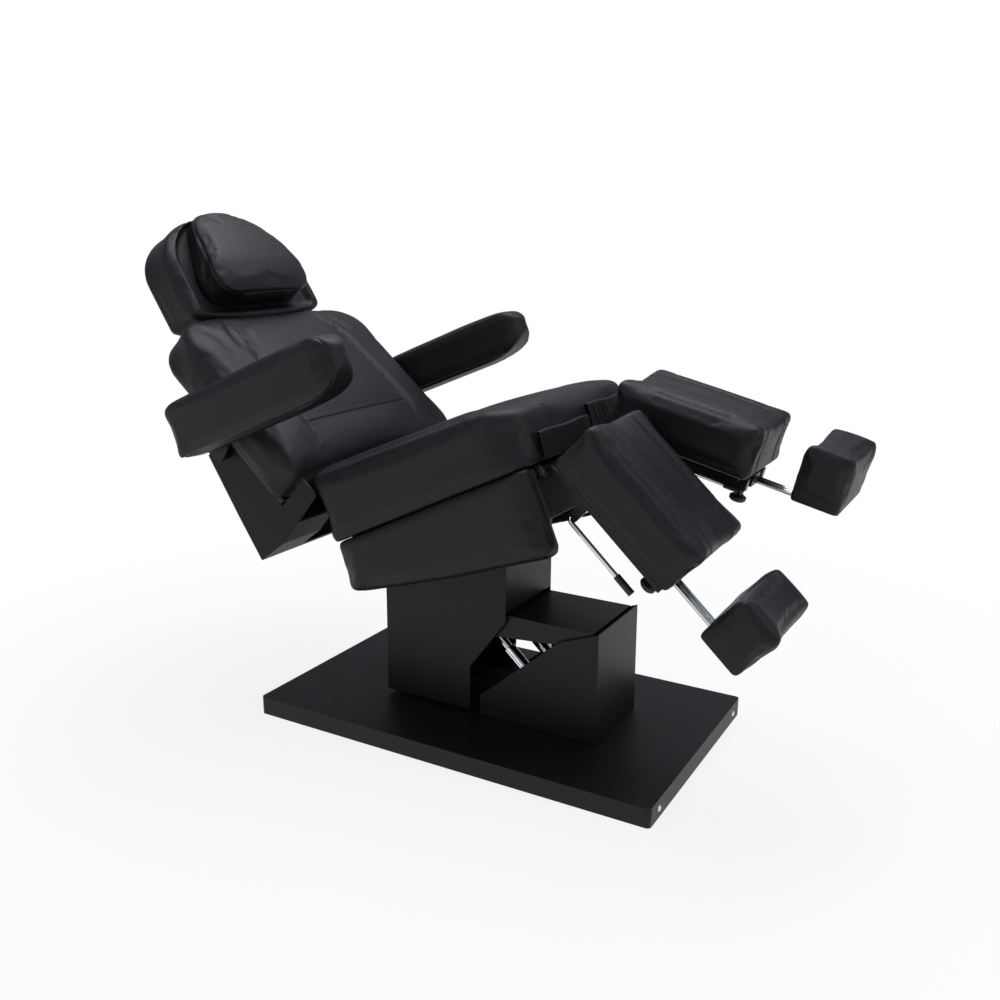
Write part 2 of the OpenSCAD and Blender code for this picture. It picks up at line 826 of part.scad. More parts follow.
// A drive rod with an open eye at its tip, along +x
module drive_rod(start, length, rod_r, eye_r, hole_r, eye_half) {
    difference() {
        union() {
            translate([start, 0, 0]) rotate([0, 90, 0])
                cylinder(r = rod_r, h = length - start - hole_r, $fn = round_fn);
            bar_across([length, 0], eye_r, -eye_half, eye_half);
        }
        bar_across([length, 0], hole_r, -eye_half - cut, eye_half + cut);
    }
}

module lift_drive_rods() {
    color(chrome_colour) for (s = [-1, 1]) along_drive(drive_foot, drive_angle, s * drive_y)
        drive_rod(drive_rod_start, drive_len, drive_rod_r, top_eye_r, top_bar_r + drive_play, top_eye_half);
}

module carriage_frame() {
    color(paint_colour) difference() {
        union() {
            both_sides() {
                across(cheek_in, cheek_out) {
                    polygon([[lower_rear[0], lower_rear[1] - carriage_boss_r],
                        [lower_rear[0] + carriage_boss_r, lower_rear[1]],
                        [upper_rear[0] + carriage_boss_r, upper_rear[1]],
                        [seat_pivot[0] + carriage_top_r, seat_pivot[1]],
                        [seat_pivot[0] - carriage_top_r, seat_pivot[1]],
                        [carriage_spacer_high[0] - carriage_spacer_r, carriage_spacer_high[1]],
                        [tilt_foot[0] - carriage_boss_r, tilt_foot[1] + carriage_boss_r],
                        [carriage_low_tube[0] - carriage_boss_r, carriage_low_tube[1]]]);
                    translate(lower_rear) circle(carriage_boss_r, $fn = round_fn);
                    translate(seat_pivot) circle(carriage_top_r, $fn = round_fn);
                }
                bar_across(carriage_spacer_low, carriage_spacer_r, cheek_out, column_half_w - sheet_t);
                bar_across(carriage_spacer_high, carriage_spacer_r, cheek_out, column_half_w - sheet_t);
            }
            bar_across(carriage_low_tube, carriage_tube_r, -cheek_out, cheek_out);
            bar_across(carriage_high_tube, carriage_tube_r, -cheek_out, cheek_out);
        }
        for (p = [lower_rear, upper_rear])
            bar_across(p, pin_r + run_fit, -cheek_out - cut, cheek_out + cut);
        bar_across(seat_pivot, seat_pin_r + run_fit, -cheek_out - cut, cheek_out + cut);
        bar_across(tilt_foot, tilt_foot_pin_r + run_fit, -cheek_out - cut, cheek_out + cut);
    }
}

module carriage_pins() {
    color(chrome_colour) {
        bar_across(lower_rear, pin_r, -cheek_out - pin_over, cheek_out + pin_over);
        bar_across(tilt_foot, tilt_foot_pin_r, -cheek_out - pin_over, cheek_out + pin_over);
        both_sides() {
            bar_across(upper_rear, pin_r, cheek_in - pin_over, flange_out + pin_over / 2);
            bar_across(seat_pivot, seat_pin_r, cheek_in - pin_over, seat_ear_in + seat_ear_t + pin_over / 2);
        }
    }
}

module rear_cover() {
    color(vinyl_colour) difference() {
        across(-column_half_w, column_half_w)
            polygon([[-column_rear, column_low], [column_step[0], column_low], column_step,
                [column_front, column_chin], [column_front, column_top_front],
                column_top_mid, [-column_rear, column_top_rear]]);
        across(-column_half_w + sheet_t, column_half_w - sheet_t)
            polygon([[-column_rear + sheet_t, column_low - cut], [column_front + cut, column_low - cut],
                [column_front + cut, column_front_low], [column_front - sheet_t, column_front_low],
                [column_front - sheet_t, column_top_front + cut],
                [-column_rear + sheet_t, column_top_front + cut]]);
        translate([-column_rear - cut, -column_notch_half, column_notch_low])
            cube([sheet_t + 2 * cut, 2 * column_notch_half, column_top_front - column_notch_low]);
    }
}

tilt_top_world = [
    seat_pivot[0] + tilt_top[0] * cos(seat_tilt) - tilt_top[1] * sin(seat_tilt),
    seat_pivot[1] + tilt_top[0] * sin(seat_tilt) + tilt_top[1] * cos(seat_tilt)
];
tilt_len = norm(tilt_top_world - tilt_foot);
tilt_angle = atan2(tilt_top_world[1] - tilt_foot[1], tilt_top_world[0] - tilt_foot[0]);

// A screw drive along +x: foot eye, gearbox, screw tube and a motor beside it
module screw_drive(tube_l, foot_pin_r, motor_side) {
    color(plastic_colour) difference() {
        union() {
            bar_across([0, 0], tilt_eye_r, -tilt_eye_half, tilt_eye_half);
            rotate([0, 90, 0]) cylinder(r = tilt_tube_r, h = tube_l, $fn = round_fn);
            translate([motor_start, 0, motor_side * (tilt_tube_r + motor_r)]) rotate([0, 90, 0])
                cylinder(r = motor_r, h = motor_l, $fn = round_fn);
            translate([motor_start, -tilt_eye_half, motor_side > 0 ? 0 : -tilt_tube_r - 2 * motor_r])
                cube([motor_r, 2 * tilt_eye_half, tilt_tube_r + 2 * motor_r]);
        }
        bar_across([0, 0], foot_pin_r + run_fit, -tilt_eye_half - cut, tilt_eye_half + cut);
        translate([motor_start + motor_r + pin_over, 0, 0]) rotate([0, 90, 0])
            cylinder(r = tilt_rod_r + run_fit, h = tube_l, $fn = round_fn);
    }
}

module tilt_drive() {
    along_drive(tilt_foot, tilt_angle, tilt_y) screw_drive(tilt_tube_l, tilt_foot_pin_r, 1);
}

module tilt_drive_rod() {
    color(chrome_colour) along_drive(tilt_foot, tilt_angle, tilt_y)
        drive_rod(tilt_rod_start, tilt_len, tilt_rod_r, tilt_eye_r - cut, tilt_pin_r + tilt_play,
            tilt_eye_half / 2);
}

// Two lugs with a cross pin, round a drive's eye at a point of the x-z plane
module pin_lugs(point, pin, y, half_gap, root, root_w) {
    for (s = [-1, 1]) translate([0, y + s * (half_gap + tilt_lug_t / 2), 0])
        across(-tilt_lug_t / 2, tilt_lug_t / 2) {
            polygon([[point[0] - pin * 2, point[1]], [point[0] + pin * 2, point[1]],
                [root[0] + root_w, root[1]], [root[0] - root_w, root[1]]]);
            translate(point) circle(pin * 2, $fn = round_fn);
        }
    bar_across(point, pin, y - half_gap - tilt_lug_t, y + half_gap + tilt_lug_t);
}

module seat_frame() {
    rail_low = -board_t - rail_h;
    front_u = seat_rear_u + seat_cross_front;
    color(paint_colour) {
        difference() {
            union() {
                on_seam() {
                    for (s = [-1, 1])
                        translate([rail_start, s > 0 ? rail_in : -rail_in - rail_w, rail_low])
                            tube_x(rail_end - rail_start, rail_w, rail_h);
                    translate([seat_cross_rear, -seat_back_ear_in - seat_back_ear_t, rail_low])
                        tube_y(2 * (seat_back_ear_in + seat_back_ear_t), rail_w, rail_h);
                    translate([seat_cross_front, -panel_in + soft_gap, rail_low])
                        tube_y(2 * (panel_in - soft_gap), rail_w, rail_h);
                }
                in_seat() both_sides() {
                    across(seat_ear_in, seat_ear_in + seat_ear_t) {
                        translate([0, 0]) circle(seat_ear_r, $fn = round_fn);
                        polygon([[-seat_ear_r, 0], [seat_ear_r, 0], [2 * seat_ear_r, rail_h],
                            [-2 * seat_ear_r, rail_h]]);
                    }
                    across(seat_back_ear_in, seat_back_ear_in + seat_back_ear_t) {
                        translate(back_hinge) circle(back_ear_r, $fn = round_fn);
                        polygon([[lug_root_u + rail_w / 2, rail_h], [seat_rear_u - rail_w / 2, rail_h / 2],
                            [back_hinge[0] - back_ear_r / 2, seat_rear_w + rail_h],
                            [back_hinge[0] - back_ear_r, back_hinge[1]],
                            [back_hinge[0] + back_ear_r, back_hinge[1]],
                            [seat_rear_u - pin_over, seat_rear_w],
                            [seat_rear_u, seat_rear_w - board_t - pin_over],
                            [lug_root_u + rail_w / 2, seat_rear_w - board_t]]);
                    }
                    for (e = [[leg_ear_in, leg_ear_t], [panel_in - soft_gap - leg_ear_out_t, leg_ear_out_t]])
                        across(e[0], e[0] + e[1]) {
                            translate(leg_hinge) circle(leg_ear_r, $fn = round_fn);
                            polygon([[front_u, leg_hinge[1] - rail_h], [leg_hinge[0], leg_hinge[1] - leg_ear_r],
                                [leg_hinge[0], leg_hinge[1] + leg_ear_r / 2], [apron_u, leg_hinge[1] - leg_ear_r / 2],
                                [front_u + rail_w / 2, leg_hinge[1] - leg_ear_r]]);
                        }
                }
            }
            in_seat() {
                bar_across([0, 0], seat_pin_r + run_fit, -seat_half_w, seat_half_w);
                bar_across(leg_hinge, leg_shaft_r + run_fit, -seat_half_w, seat_half_w);
                bar_across(back_hinge, back_hinge_r + run_fit, -seat_half_w, seat_half_w);
            }
        }
        in_seat() {
            pin_lugs(tilt_top, tilt_pin_r, tilt_y, tilt_eye_half / 2 + cut,
                [lug_root_u, rail_h - tilt_lug_t], rail_w / 2);
            pin_lugs(recline_foot, recline_pin_r, recline_y, tilt_eye_half + recline_lug_gap,
                [lug_root_u, rail_h - tilt_lug_t], rail_w / 2);
        }
    }
}

module seat_board() {
    color(board_colour) on_seam()
        translate([pin_over, -panel_in + soft_gap, -board_t])
            cube([apron_u - seat_rear_u - pin_over, 2 * (panel_in - soft_gap), board_t]);
}

seat_columns = grooved_shares(8, [0.62], 0.035);

module seat_cushion() {
    half = function(x) rounded_half(x, seat_l, seat_half_w, seat_corner_rear_r, seat_corner_r);
    top = function(x, y)
        seat_thick_rear + (seat_thick_front - seat_thick_rear) * x / seat_l - seat_dip
        + seat_crown * crown(x, y, seat_l, seat_half_w)
        - seam_depth * groove(abs(y) - 0.62 * half(x), seam_w)
        - seat_fall * pow(max(0, (x - seat_l) / seat_fall_l + 1), 2);
    color(vinyl_colour) on_seam()
        pad(seat_l, 14, seat_columns, half, top, function(x) 0, seat_edge_r, pad_waist);
}

module side_panel() {
    r = panel_corner_r;
    low = seat_rear_w - side_panel_h + r;
    top = 2 * panel_roll;
    in_seat() difference() {
        hull() for (a = [0 : 30 : 90])
            for (p = [[panel_rear_low[0] + r, panel_rear_low[1] + r], [panel_mid, low + r / 3],
                    [panel_front - r, low], [seat_rear_u - pin_over + r, seat_rear_w + top],
                    [panel_front - r, seat_rear_w + seam_rise + top]])
                bar_across(p, r - panel_roll * (1 - cos(a)), panel_in,
                    seat_half_w - panel_roll * (1 - sin(a)));
        translate([seat_rear_u, 0, seat_rear_w]) rotate([0, -seam_slope, 0])
            translate([-seat_l, 0, -soft_gap]) cube([3 * seat_l, 2 * seat_half_w, seat_l]);
    }
}

module seat_side_right() {
    color(vinyl_colour) side(-1) side_panel();
}

module seat_side_left() {
    color(vinyl_colour) side(1) side_panel();
}

module seat_apron() {
    top = seat_rear_w + seam_rise * (apron_u - seat_rear_u) / seat_l - board_t / 2;
    color(vinyl_colour) in_seat() difference() {
        translate([apron_u, -panel_in, apron_low]) cube([apron_t, 2 * panel_in, top - apron_low]);
        both_sides() for (e = [[leg_ear_in, leg_ear_t],
                [panel_in - soft_gap - leg_ear_out_t, leg_ear_out_t + 2 * soft_gap]])
            translate([apron_u - cut, e[0] - apron_notch_gap, apron_notch_low])
                cube([apron_t + 2 * cut, e[1] + 2 * apron_notch_gap, top]);
    }
}

// A loose vinyl flap on the seat's front, with a rolled top edge
module front_flap(top_w) {
    face = seat_rear_u + seat_l * cos(seam_slope) - flap_sink;
    low = seat_rear_w + seam_rise + flap_stand;
    lean = flap_roll_r + flap_stand;
    in_seat() across(flap_centre_gap, panel_in) {
        polygon([[face, low], [face + flap_t, low], [face + lean, top_w], [face + lean - flap_t, top_w]]);
        translate([face + lean - flap_t / 2, top_w]) circle(flap_roll_r, $fn = hull_fn);
    }
}

module seat_flap_right() {
    color(vinyl_colour) side(-1) front_flap(flap_top_right);
}

module seat_flap_left() {
    color(vinyl_colour) side(1) front_flap(flap_top_left);
}

module leg_hinge_shaft() {
    color(chrome_colour) in_seat()
        bar_across(leg_hinge, leg_shaft_r, -panel_in + soft_gap, panel_in - soft_gap);
}

module back_hinge_pins() {
    color(chrome_colour) in_seat() both_sides()
        bar_across(back_hinge, back_hinge_r, seat_back_ear_in - pin_over,
            back_ear_in + seat_back_ear_t + pin_over);
}

back_dir = [cos(back_angle), sin(back_angle)];
recline_top_seat = back_hinge + recline_top[0] * back_dir + recline_top[1] * [-back_dir[1], back_dir[0]];
recline_len = norm(recline_top_seat - recline_foot);
recline_angle = atan2(recline_top_seat[1] - recline_foot[1], recline_top_seat[0] - recline_foot[0]);

module recline_drive() {
    in_seat() along_drive(recline_foot, recline_angle, recline_y)
        screw_drive(recline_tube_l, recline_pin_r, 1);
}

module recline_drive_rod() {
    color(chrome_colour) in_seat() along_drive(recline_foot, recline_angle, recline_y)
        drive_rod(recline_rod_start, recline_len, tilt_rod_r, recline_pin_r + recline_play + pin_over * 2,
            recline_pin_r + recline_play, tilt_eye_half / 2);
}

module back_frame() {
    rear = back_rear + board_t;
    color(paint_colour) in_back() {
        difference() {
            union() {
                both_sides() {
                    translate([0, back_rail_in, rear]) tube_x(back_rail_top, rail_w, rail_h);
                    across(back_ear_in, back_ear_in + seat_back_ear_t) {
                        circle(back_ear_r, $fn = round_fn);
                        polygon([[-back_ear_r, 0], [back_ear_r, 0], [back_low - 2 * pin_over, rear],
                            [2 * rail_h, rear + rail_h], [0, rear + rail_h]]);
                    }
                }
                for (v = [rail_h, back_rail_top - rail_h])
                    translate([v, -back_rail_in, rear]) tube_y(2 * back_rail_in, rail_w, rail_h);
            }
            bar_across([0, 0], back_hinge_r + run_fit, -back_half_w, back_half_w);
        }
        pin_lugs(recline_top, recline_pin_r, recline_y, tilt_eye_half / 2 + recline_lug_gap,
            [rail_h * 1.5, rear + rail_h - tube_wall], rail_w / 2);
    }
}

module back_board() {
    side_y = back_half_w - 6 * pin_over;
    top_y = side_y - back_shoulder_r * 0.75;
    color(board_colour) in_back() translate([0, 0, back_rear]) linear_extrude(board_t)
        polygon([[back_low, -side_y], [back_board_end - back_shoulder_r * 0.75, -side_y],
            [back_board_end, -top_y], [back_board_end, top_y],
            [back_board_end - back_shoulder_r * 0.75, side_y], [back_low, side_y]]);
}

back_columns = grooved_shares(8, [0.6], 0.035);

module back_cushion() {
    l = back_l + back_crest;
    half = function(x) rounded_half(x, l, back_half_w, back_foot_r, back_shoulder_r);
    top = function(x, y)
        back_thick - back_dip + back_crown * crown(x, y, l, back_half_w)
        - seam_depth * groove(abs(y) - 0.6 * half(x), seam_w)
        - back_fall * pow(max(0, (x - l) / back_fall_top_l + 1), 2)
        - back_fall * pow(max(0, 1 - x / back_fall_low_l), 2);
    color(vinyl_colour) in_back() translate([back_low, 0, back_rear]) mirror([0, 0, 1])
        pad(l, 14, back_columns, half, top, function(x) 0, back_edge_r, pad_waist);
}

module box_outline() {
    polygon([[box_top, back_rear + board_t], [box_top, box_top_deep], box_mid, [box_low, box_deep], box_nose,
        box_nose_top, [back_low - 2 * pin_over, box_nose_top[1]],
        [back_low - 2 * pin_over, back_rear + board_t]]);
}

module back_box() {
    color(vinyl_colour) in_back() difference() {
        across(-box_half_w, box_half_w) box_outline();
        across(-box_half_w + box_t, box_half_w - box_t) {
            polygon([[box_top - box_t, box_nose_top[1] - cut], [box_top - box_t, box_top_deep - box_t * 0.7],
                [box_mid[0], box_mid[1] - box_t * 1.1],
                [box_low + box_t * 0.5, box_deep - box_t * 1.2], [box_nose[0] + box_t * 0.6, box_nose[1]],
                [box_t * 0.5, back_rear + board_t], [box_nose[0] - cut, back_rear + board_t],
                [box_nose[0] - cut, box_nose_top[1] - cut]]);
        }
        translate([box_nose[0] - cut, -box_slot_half, 0])
            cube([back_low - box_nose[0], 2 * box_slot_half, box_deep - box_t * 2]);
    }
}

module armrest_brackets() {
    color(paint_colour) in_back() both_sides() difference() {
        union() {
            across(bracket_plate_in, bracket_plate_in + bracket_plate_t) {
                polygon([[arm_pivot[0] - 2 * bracket_boss_r, arm_pivot[1]],
                    [arm_pivot[0] + 2 * bracket_boss_r, arm_pivot[1]],
                    [bracket_bosses[1][0] + bracket_boss_r, bracket_bosses[1][1] + bracket_boss_r],
                    [bracket_bosses[0][0] - bracket_boss_r, bracket_bosses[0][1] + bracket_boss_r],
                    [bracket_bosses[0][0] - bracket_boss_r, bracket_bosses[0][1] - bracket_boss_r]]);
                translate(arm_pivot) circle(2 * bracket_boss_r, $fn = round_fn);
            }
            for (p = bracket_bosses)
                bar_across(p, bracket_boss_r, box_half_w, bracket_plate_in);
            bar_across(arm_pivot, arm_pivot_r, bracket_plate_in, arm_plate_in + arm_plate_t - cut);
        }
    }
}

module headrest_guide() {
    rear = back_rear + board_t;
    color(paint_colour) in_back() difference() {
        union() {
            both_sides() translate([guide_low, guide_y - guide_w / 2, rear])
                cube([guide_high - guide_low, guide_w, guide_w]);
            translate([guide_high - 2 * guide_w, -guide_y, rear])
                cube([guide_w, 2 * guide_y, guide_w / 2 - bar_r - pin_over / 2]);
        }
        both_sides() translate([guide_low - cut, guide_y, rear + guide_w / 2]) rotate([0, 90, 0])
            cylinder(r = bar_r + run_fit, h = guide_high - guide_low + 2 * cut, $fn = round_fn);
    }
}

module headrest_bars() {
    bar_b = back_rear + board_t + guide_w / 2;
    color(chrome_colour) in_back() {
        both_sides() {
            translate([bar_start, guide_y, bar_b]) rotate([0, 90, 0])
                cylinder(r = bar_r, h = head_pivot_v - bar_start, $fn = round_fn);
            bar_across([head_pivot_v, bar_b], bar_eye_r, guide_y - bar_eye_half, guide_y + bar_eye_half);
        }
        bar_across([head_pivot_v, bar_b], head_pivot_r, -head_ear_in - head_ear_t - pin_over,
            head_ear_in + head_ear_t + pin_over);
    }
}

head_pivot_back = [head_pivot_v - head_origin[0], back_rear + board_t + guide_w / 2 - head_origin[1]];
head_pivot = [
    head_pivot_back[0] * cos(head_lean) - head_pivot_back[1] * sin(head_lean),
    head_pivot_back[0] * sin(head_lean) + head_pivot_back[1] * cos(head_lean)
];

module headrest_plate() {
    color(paint_colour) in_head() difference() {
        union() {
            translate([head_plate[0] - bar_eye_r, -head_plate_half_w, head_thick])
                cube([head_plate[1] - head_plate[0] + bar_eye_r, 2 * head_plate_half_w, head_plate_t]);
            both_sides() across(head_ear_in, head_ear_in + head_ear_t) {
                translate(head_pivot) circle(bar_eye_r, $fn = round_fn);
                polygon([[head_pivot[0] - bar_eye_r, head_pivot[1]], [head_pivot[0] + bar_eye_r, head_pivot[1]],
                    [head_plate[0] + 3 * bar_eye_r, head_thick + head_plate_t / 2],
                    [head_plate[0] - bar_eye_r, head_thick + head_plate_t / 2]]);
            }
        }
        bar_across(head_pivot, head_pivot_r + run_fit, -head_half_w, head_half_w);
    }
}

// Half width of the headrest base: a bowed lower edge, a straight part and a round top
function head_half(x) = let (
    low = 1 - x / head_bow,
    high = (x - head_straight) / (head_l - head_straight)
) head_half_w * sqrt(max(head_min_share, 1 - pow(max(0, low), 2) - pow(max(0, high), 2)));

module headrest_base() {
    slope = head_recess_share[1] - head_recess_share[0];
    top = function(x, y) let (s = abs(y) / (head_half(x) - head_edge))
        head_thick - head_crown + head_crown * crown(x, y, head_l, head_half_w)
        - head_recess * min(1, max(0, (head_recess_share[1] - s) / slope))
            * min(1, max(0, (x - head_rim) / recess_low_l))
            * min(1, max(0, (head_l - recess_top_gap - x) / recess_top_l));
    color(vinyl_colour) in_head() translate([head_start, 0, head_thick]) mirror([0, 0, 1])
        pad(head_l, 12, [-1, -0.95, -0.89, -0.5, 0, 0.5, 0.89, 0.95, 1], function(x) head_half(x), top,
            function(x) 0, head_edge, pad_waist);
}

module headrest_pillow() {
    half = function(x) rounded_half(x, pillow_l, pillow_half_w, pillow_corner_low_r, pillow_corner_top_r)
        - pillow_taper * max(0, (x - pillow_straight) / (pillow_l - pillow_straight));
    top = function(x, y) head_recess - soft_gap + pillow_rise
        - pillow_fall * pow(max(0, (x - pillow_straight) / (pillow_l - pillow_straight)), 1.5)
        - pillow_side_fall * pow(min(1, abs(y) / half(x)), 2);
    color(vinyl_colour) in_head() translate([0, 0, head_recess - soft_gap]) mirror([0, 0, 1])
        pad(pillow_l, 10, even_shares(8), half, top, function(x) 0, pillow_edge_r, pad_waist);
}

module arm_plate(sign) {
    color(paint_colour) side(sign) in_arm() difference() {
        across(arm_plate_in, arm_plate_in + arm_plate_t - soft_gap) {
            circle(2 * bracket_boss_r, $fn = round_fn);
            polygon([[0, -bracket_boss_r], [arm_l - 2 * arm_tail, -bracket_boss_r],
                [arm_l - 2 * arm_tail, bracket_boss_r], [0, bracket_boss_r]]);
        }
        bar_across([0, 0], arm_pivot_r + run_fit, 0, arm_in + cut);
    }
}

module arm_pad(sign) {
    half_w = arm_w / 2;
    half = function(x) rounded_half(x, arm_l, half_w, arm_corner_r, arm_nose_r);
    top = function(x, y) arm_h - arm_crown + arm_crown * crown(x, y, arm_l, half_w)
        - arm_fall * pow(max(0, (x - arm_l) / arm_fall_l + 1), 2);
    low = function(x) x < arm_l - arm_chin_r ? 0
        : arm_chin_rise * (1 - sqrt(max(0, 1 - pow((x - arm_l) / arm_chin_r + 1, 2))));
    color(vinyl_colour) side(sign) in_arm() translate([-arm_tail, arm_in + half_w, arm_low])
        pad(arm_l, 12, even_shares(4), half, top, low, arm_edge_r, arm_waist);
}

module armrest_plate_right() { arm_plate(-1); }
module armrest_pad_right() { arm_pad(-1); }
module armrest_plate_left() { arm_plate(1); }
module armrest_pad_left() { arm_pad(1); }

module leg_frame(sign, drop) {
    board_n = leg_seat_n - leg_board_t;
    color(paint_colour) side(sign) in_leg(drop) difference() {
        union() {
            bar_across([0, 0], leg_boss_r, leg_boss_in, leg_boss_out);
            for (s = [-1, 1]) translate([0, leg_mid_y + s * leg_rail_step, 0])
                across(-leg_rail_w / 2, leg_rail_w / 2)
                    polygon([[-leg_boss_r * 0.5, leg_boss_r * 0.85], [leg_start * 1.8, leg_boss_r * 1.5],
                        [leg_start * 1.5, board_n], [leg_rail_end, board_n], [leg_rail_end, leg_rail_n],
                        [leg_boss_r * 2.5, leg_rail_n], [leg_boss_r * 0.5, -leg_boss_r * 0.85]]);
            translate([leg_start * 1.5, leg_mid_y - leg_w / 2 + leg_rail_w, board_n])
                cube([leg_l - leg_rail_w, leg_w - 2 * leg_rail_w, leg_board_t - soft_gap]);
            translate([block_start, foot_mid_y - block_half_w, leg_rail_n])
                cube([leg_rail_end - block_start, 2 * block_half_w, board_n - leg_rail_n]);
            translate([lever_a, lever_in, lever_n]) for (y = [0, lever_out - lever_in - 3 * lever_lug_t])
                translate([0, y, 0]) across(0, lever_lug_t) {
                    circle(lever_lug_r, $fn = round_fn);
                    polygon([[-lever_lug_r, 0], [lever_lug_r, 0], [lever_lug_r, board_n - lever_n],
                        [-lever_lug_r, board_n - lever_n]]);
                }
        }
        bar_across([0, 0], leg_shaft_r + run_fit, leg_boss_in - cut, leg_boss_out + cut);
        bar_across([lever_a, lever_n], lever_r + run_fit, lever_in - cut, lever_out - lever_lug_t);
        for (s = [-1, 1]) translate([0, foot_mid_y + s * bar_pitch / 2, bar_n]) rotate([0, 90, 0])
            cylinder(r = foot_bar_r + run_fit, h = leg_rail_end + cut, $fn = round_fn);
        translate([knob_a, foot_mid_y, 0]) cylinder(r = stud_r + run_fit, h = bar_n - cut, $fn = round_fn);
    }
}

module leg_cushion(sign, drop) {
    half_w = leg_w / 2;
    half = function(x) rounded_half(x, leg_l, half_w, leg_corner_low_r, leg_corner_top_r);
    top = function(x, y) let (s = abs(y) / half_w)
        leg_thick - leg_crown + leg_crown * crown(x, y, leg_l, half_w)
        - leg_channel * pow(max(0, 1 - s / 0.72), 0.8)
        - leg_seam_depth * groove(abs(y) - 0.45 * half_w, leg_seam_w);
    color(vinyl_colour) side(sign) in_leg(drop) translate([leg_start, leg_mid_y, leg_seat_n])
        pad(leg_l, 10, grooved_shares(8, [0.45], 0.05), half, top, function(x) 0, leg_edge_r, leg_waist);
}

module leg_lever(sign, drop) {
    bend = 2 * lever_r;
    color(chrome_colour) side(sign) in_leg(drop) translate([lever_a, 0, lever_n]) {
        bar_across([0, 0], lever_r, lever_in - pin_over, lever_out - bend);
        translate([bend, lever_out - bend, 0]) rotate([0, 0, 90])
            rotate_extrude(angle = 90, $fn = round_fn) translate([bend, 0]) circle(lever_r, $fn = round_fn);
        translate([bend, lever_out, 0]) rotate([0, 90, 0])
            cylinder(r = lever_r, h = lever_end - lever_a - bend - pin_over, $fn = round_fn);
    }
}

// The black sleeve on the lever's end, closed at its tip
module lever_grip(sign, drop) {
    color(plastic_colour) side(sign) in_leg(drop)
        translate([lever_end - grip_l, lever_out, lever_n]) rotate([0, 90, 0]) difference() {
            cylinder(r = grip_r, h = grip_l, $fn = round_fn);
            translate([0, 0, -cut]) cylinder(r = lever_r, h = grip_l - pin_over + cut, $fn = round_fn);
        }
}

module foot_knob(sign, drop) {
    color(plastic_colour) side(sign) in_leg(drop) translate([knob_a, foot_mid_y, knob_n]) {
        rotate_extrude($fn = round_fn) polygon([[0, 0], [knob_r * 0.8, 0], [knob_r, knob_h * 0.25],
            [knob_r, knob_h * 0.7], [knob_r * 0.6, knob_h], [0, knob_h]]);
        cylinder(r = stud_r, h = bar_n - foot_bar_r - knob_n - soft_gap, $fn = round_fn);
    }
}

module foot_bars(sign, drop) {
    foot_end = foot_start + foot_l;
    color(chrome_colour) side(sign) in_leg(drop) {
        for (s = [-1, 1]) translate([bar_inner, foot_mid_y + s * bar_pitch / 2, bar_n]) rotate([0, 90, 0])
            cylinder(r = foot_bar_r, h = foot_end - foot_l / 4 - bar_inner, $fn = round_fn);
        translate([foot_start + foot_l / 8, foot_mid_y - foot_w / 3, foot_n - foot_plate_t])
            cube([foot_l * 0.75, foot_w * 2 / 3, foot_plate_t - soft_gap]);
        translate([foot_start + foot_l / 8, foot_mid_y - bar_pitch, bar_n - foot_bar_r])
            cube([foot_l / 2, 2 * bar_pitch, foot_n - foot_plate_t - bar_n + foot_bar_r]);
    }
}

module foot_pad(sign, drop) {
    half_w = foot_w / 2;
    half = function(x) rounded_half(x, foot_l, half_w, foot_corner_r, foot_corner_r);
    top = function(x, y) foot_h - foot_saddle * (1 - pow(y / half_w, 2)) - foot_crown
        + foot_crown * crown(x, y, foot_l, half_w);
    color(vinyl_colour) side(sign) in_leg(drop) translate([foot_start, foot_mid_y, foot_n])
        pad(foot_l, 8, even_shares(8), half, top, function(x) 0, foot_edge_r, foot_waist);
}

module leg_frame_right() { leg_frame(-1, leg_angle_right); }
module leg_cushion_right() { leg_cushion(-1, leg_angle_right); }
module leg_lever_right() { leg_lever(-1, leg_angle_right); }
module lever_grip_right() { lever_grip(-1, leg_angle_right); }
module foot_knob_right() { foot_knob(-1, leg_angle_right); }
module foot_bars_right() { foot_bars(-1, leg_angle_right); }
module foot_pad_right() { foot_pad(-1, leg_angle_right); }
module leg_frame_left() { leg_frame(1, leg_angle_left); }
module leg_cushion_left() { leg_cushion(1, leg_angle_left); }
module leg_lever_left() { leg_lever(1, leg_angle_left); }
module lever_grip_left() { lever_grip(1, leg_angle_left); }
module foot_knob_left() { foot_knob(1, leg_angle_left); }
module foot_bars_left() { foot_bars(1, leg_angle_left); }
module foot_pad_left() { foot_pad(1, leg_angle_left); }

floor_plate();
base_frame();
base_cover();
base_cover_screws();
control_box();
mains_inlet();
mains_inlet_pins();
lift_bracket();
lift_pivot_pins();
front_housing();
lower_link();
upper_link();
lift_drive_tubes();
lift_drive_rods();
carriage_frame();
carriage_pins();
rear_cover();
tilt_drive();
tilt_drive_rod();
seat_frame();
seat_board();
seat_cushion();
seat_side_right();
seat_side_left();
seat_apron();
seat_flap_right();
seat_flap_left();
leg_hinge_shaft();
back_hinge_pins();
recline_drive();
recline_drive_rod();
back_frame();
back_board();
back_cushion();
back_box();
armrest_brackets();
headrest_guide();
headrest_bars();
headrest_plate();
headrest_base();
headrest_pillow();
armrest_plate_right();
armrest_pad_right();
armrest_plate_left();
armrest_pad_left();
leg_frame_right();
leg_cushion_right();
leg_lever_right();
lever_grip_right();
foot_knob_right();
foot_bars_right();
foot_pad_right();
leg_frame_left();
leg_cushion_left();
leg_lever_left();
lever_grip_left();
foot_knob_left();
foot_bars_left();
foot_pad_left();
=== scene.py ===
import math

import bmesh
import bpy
import numpy as np
from mathutils import Matrix, Vector, noise
from mathutils.bvhtree import BVHTree


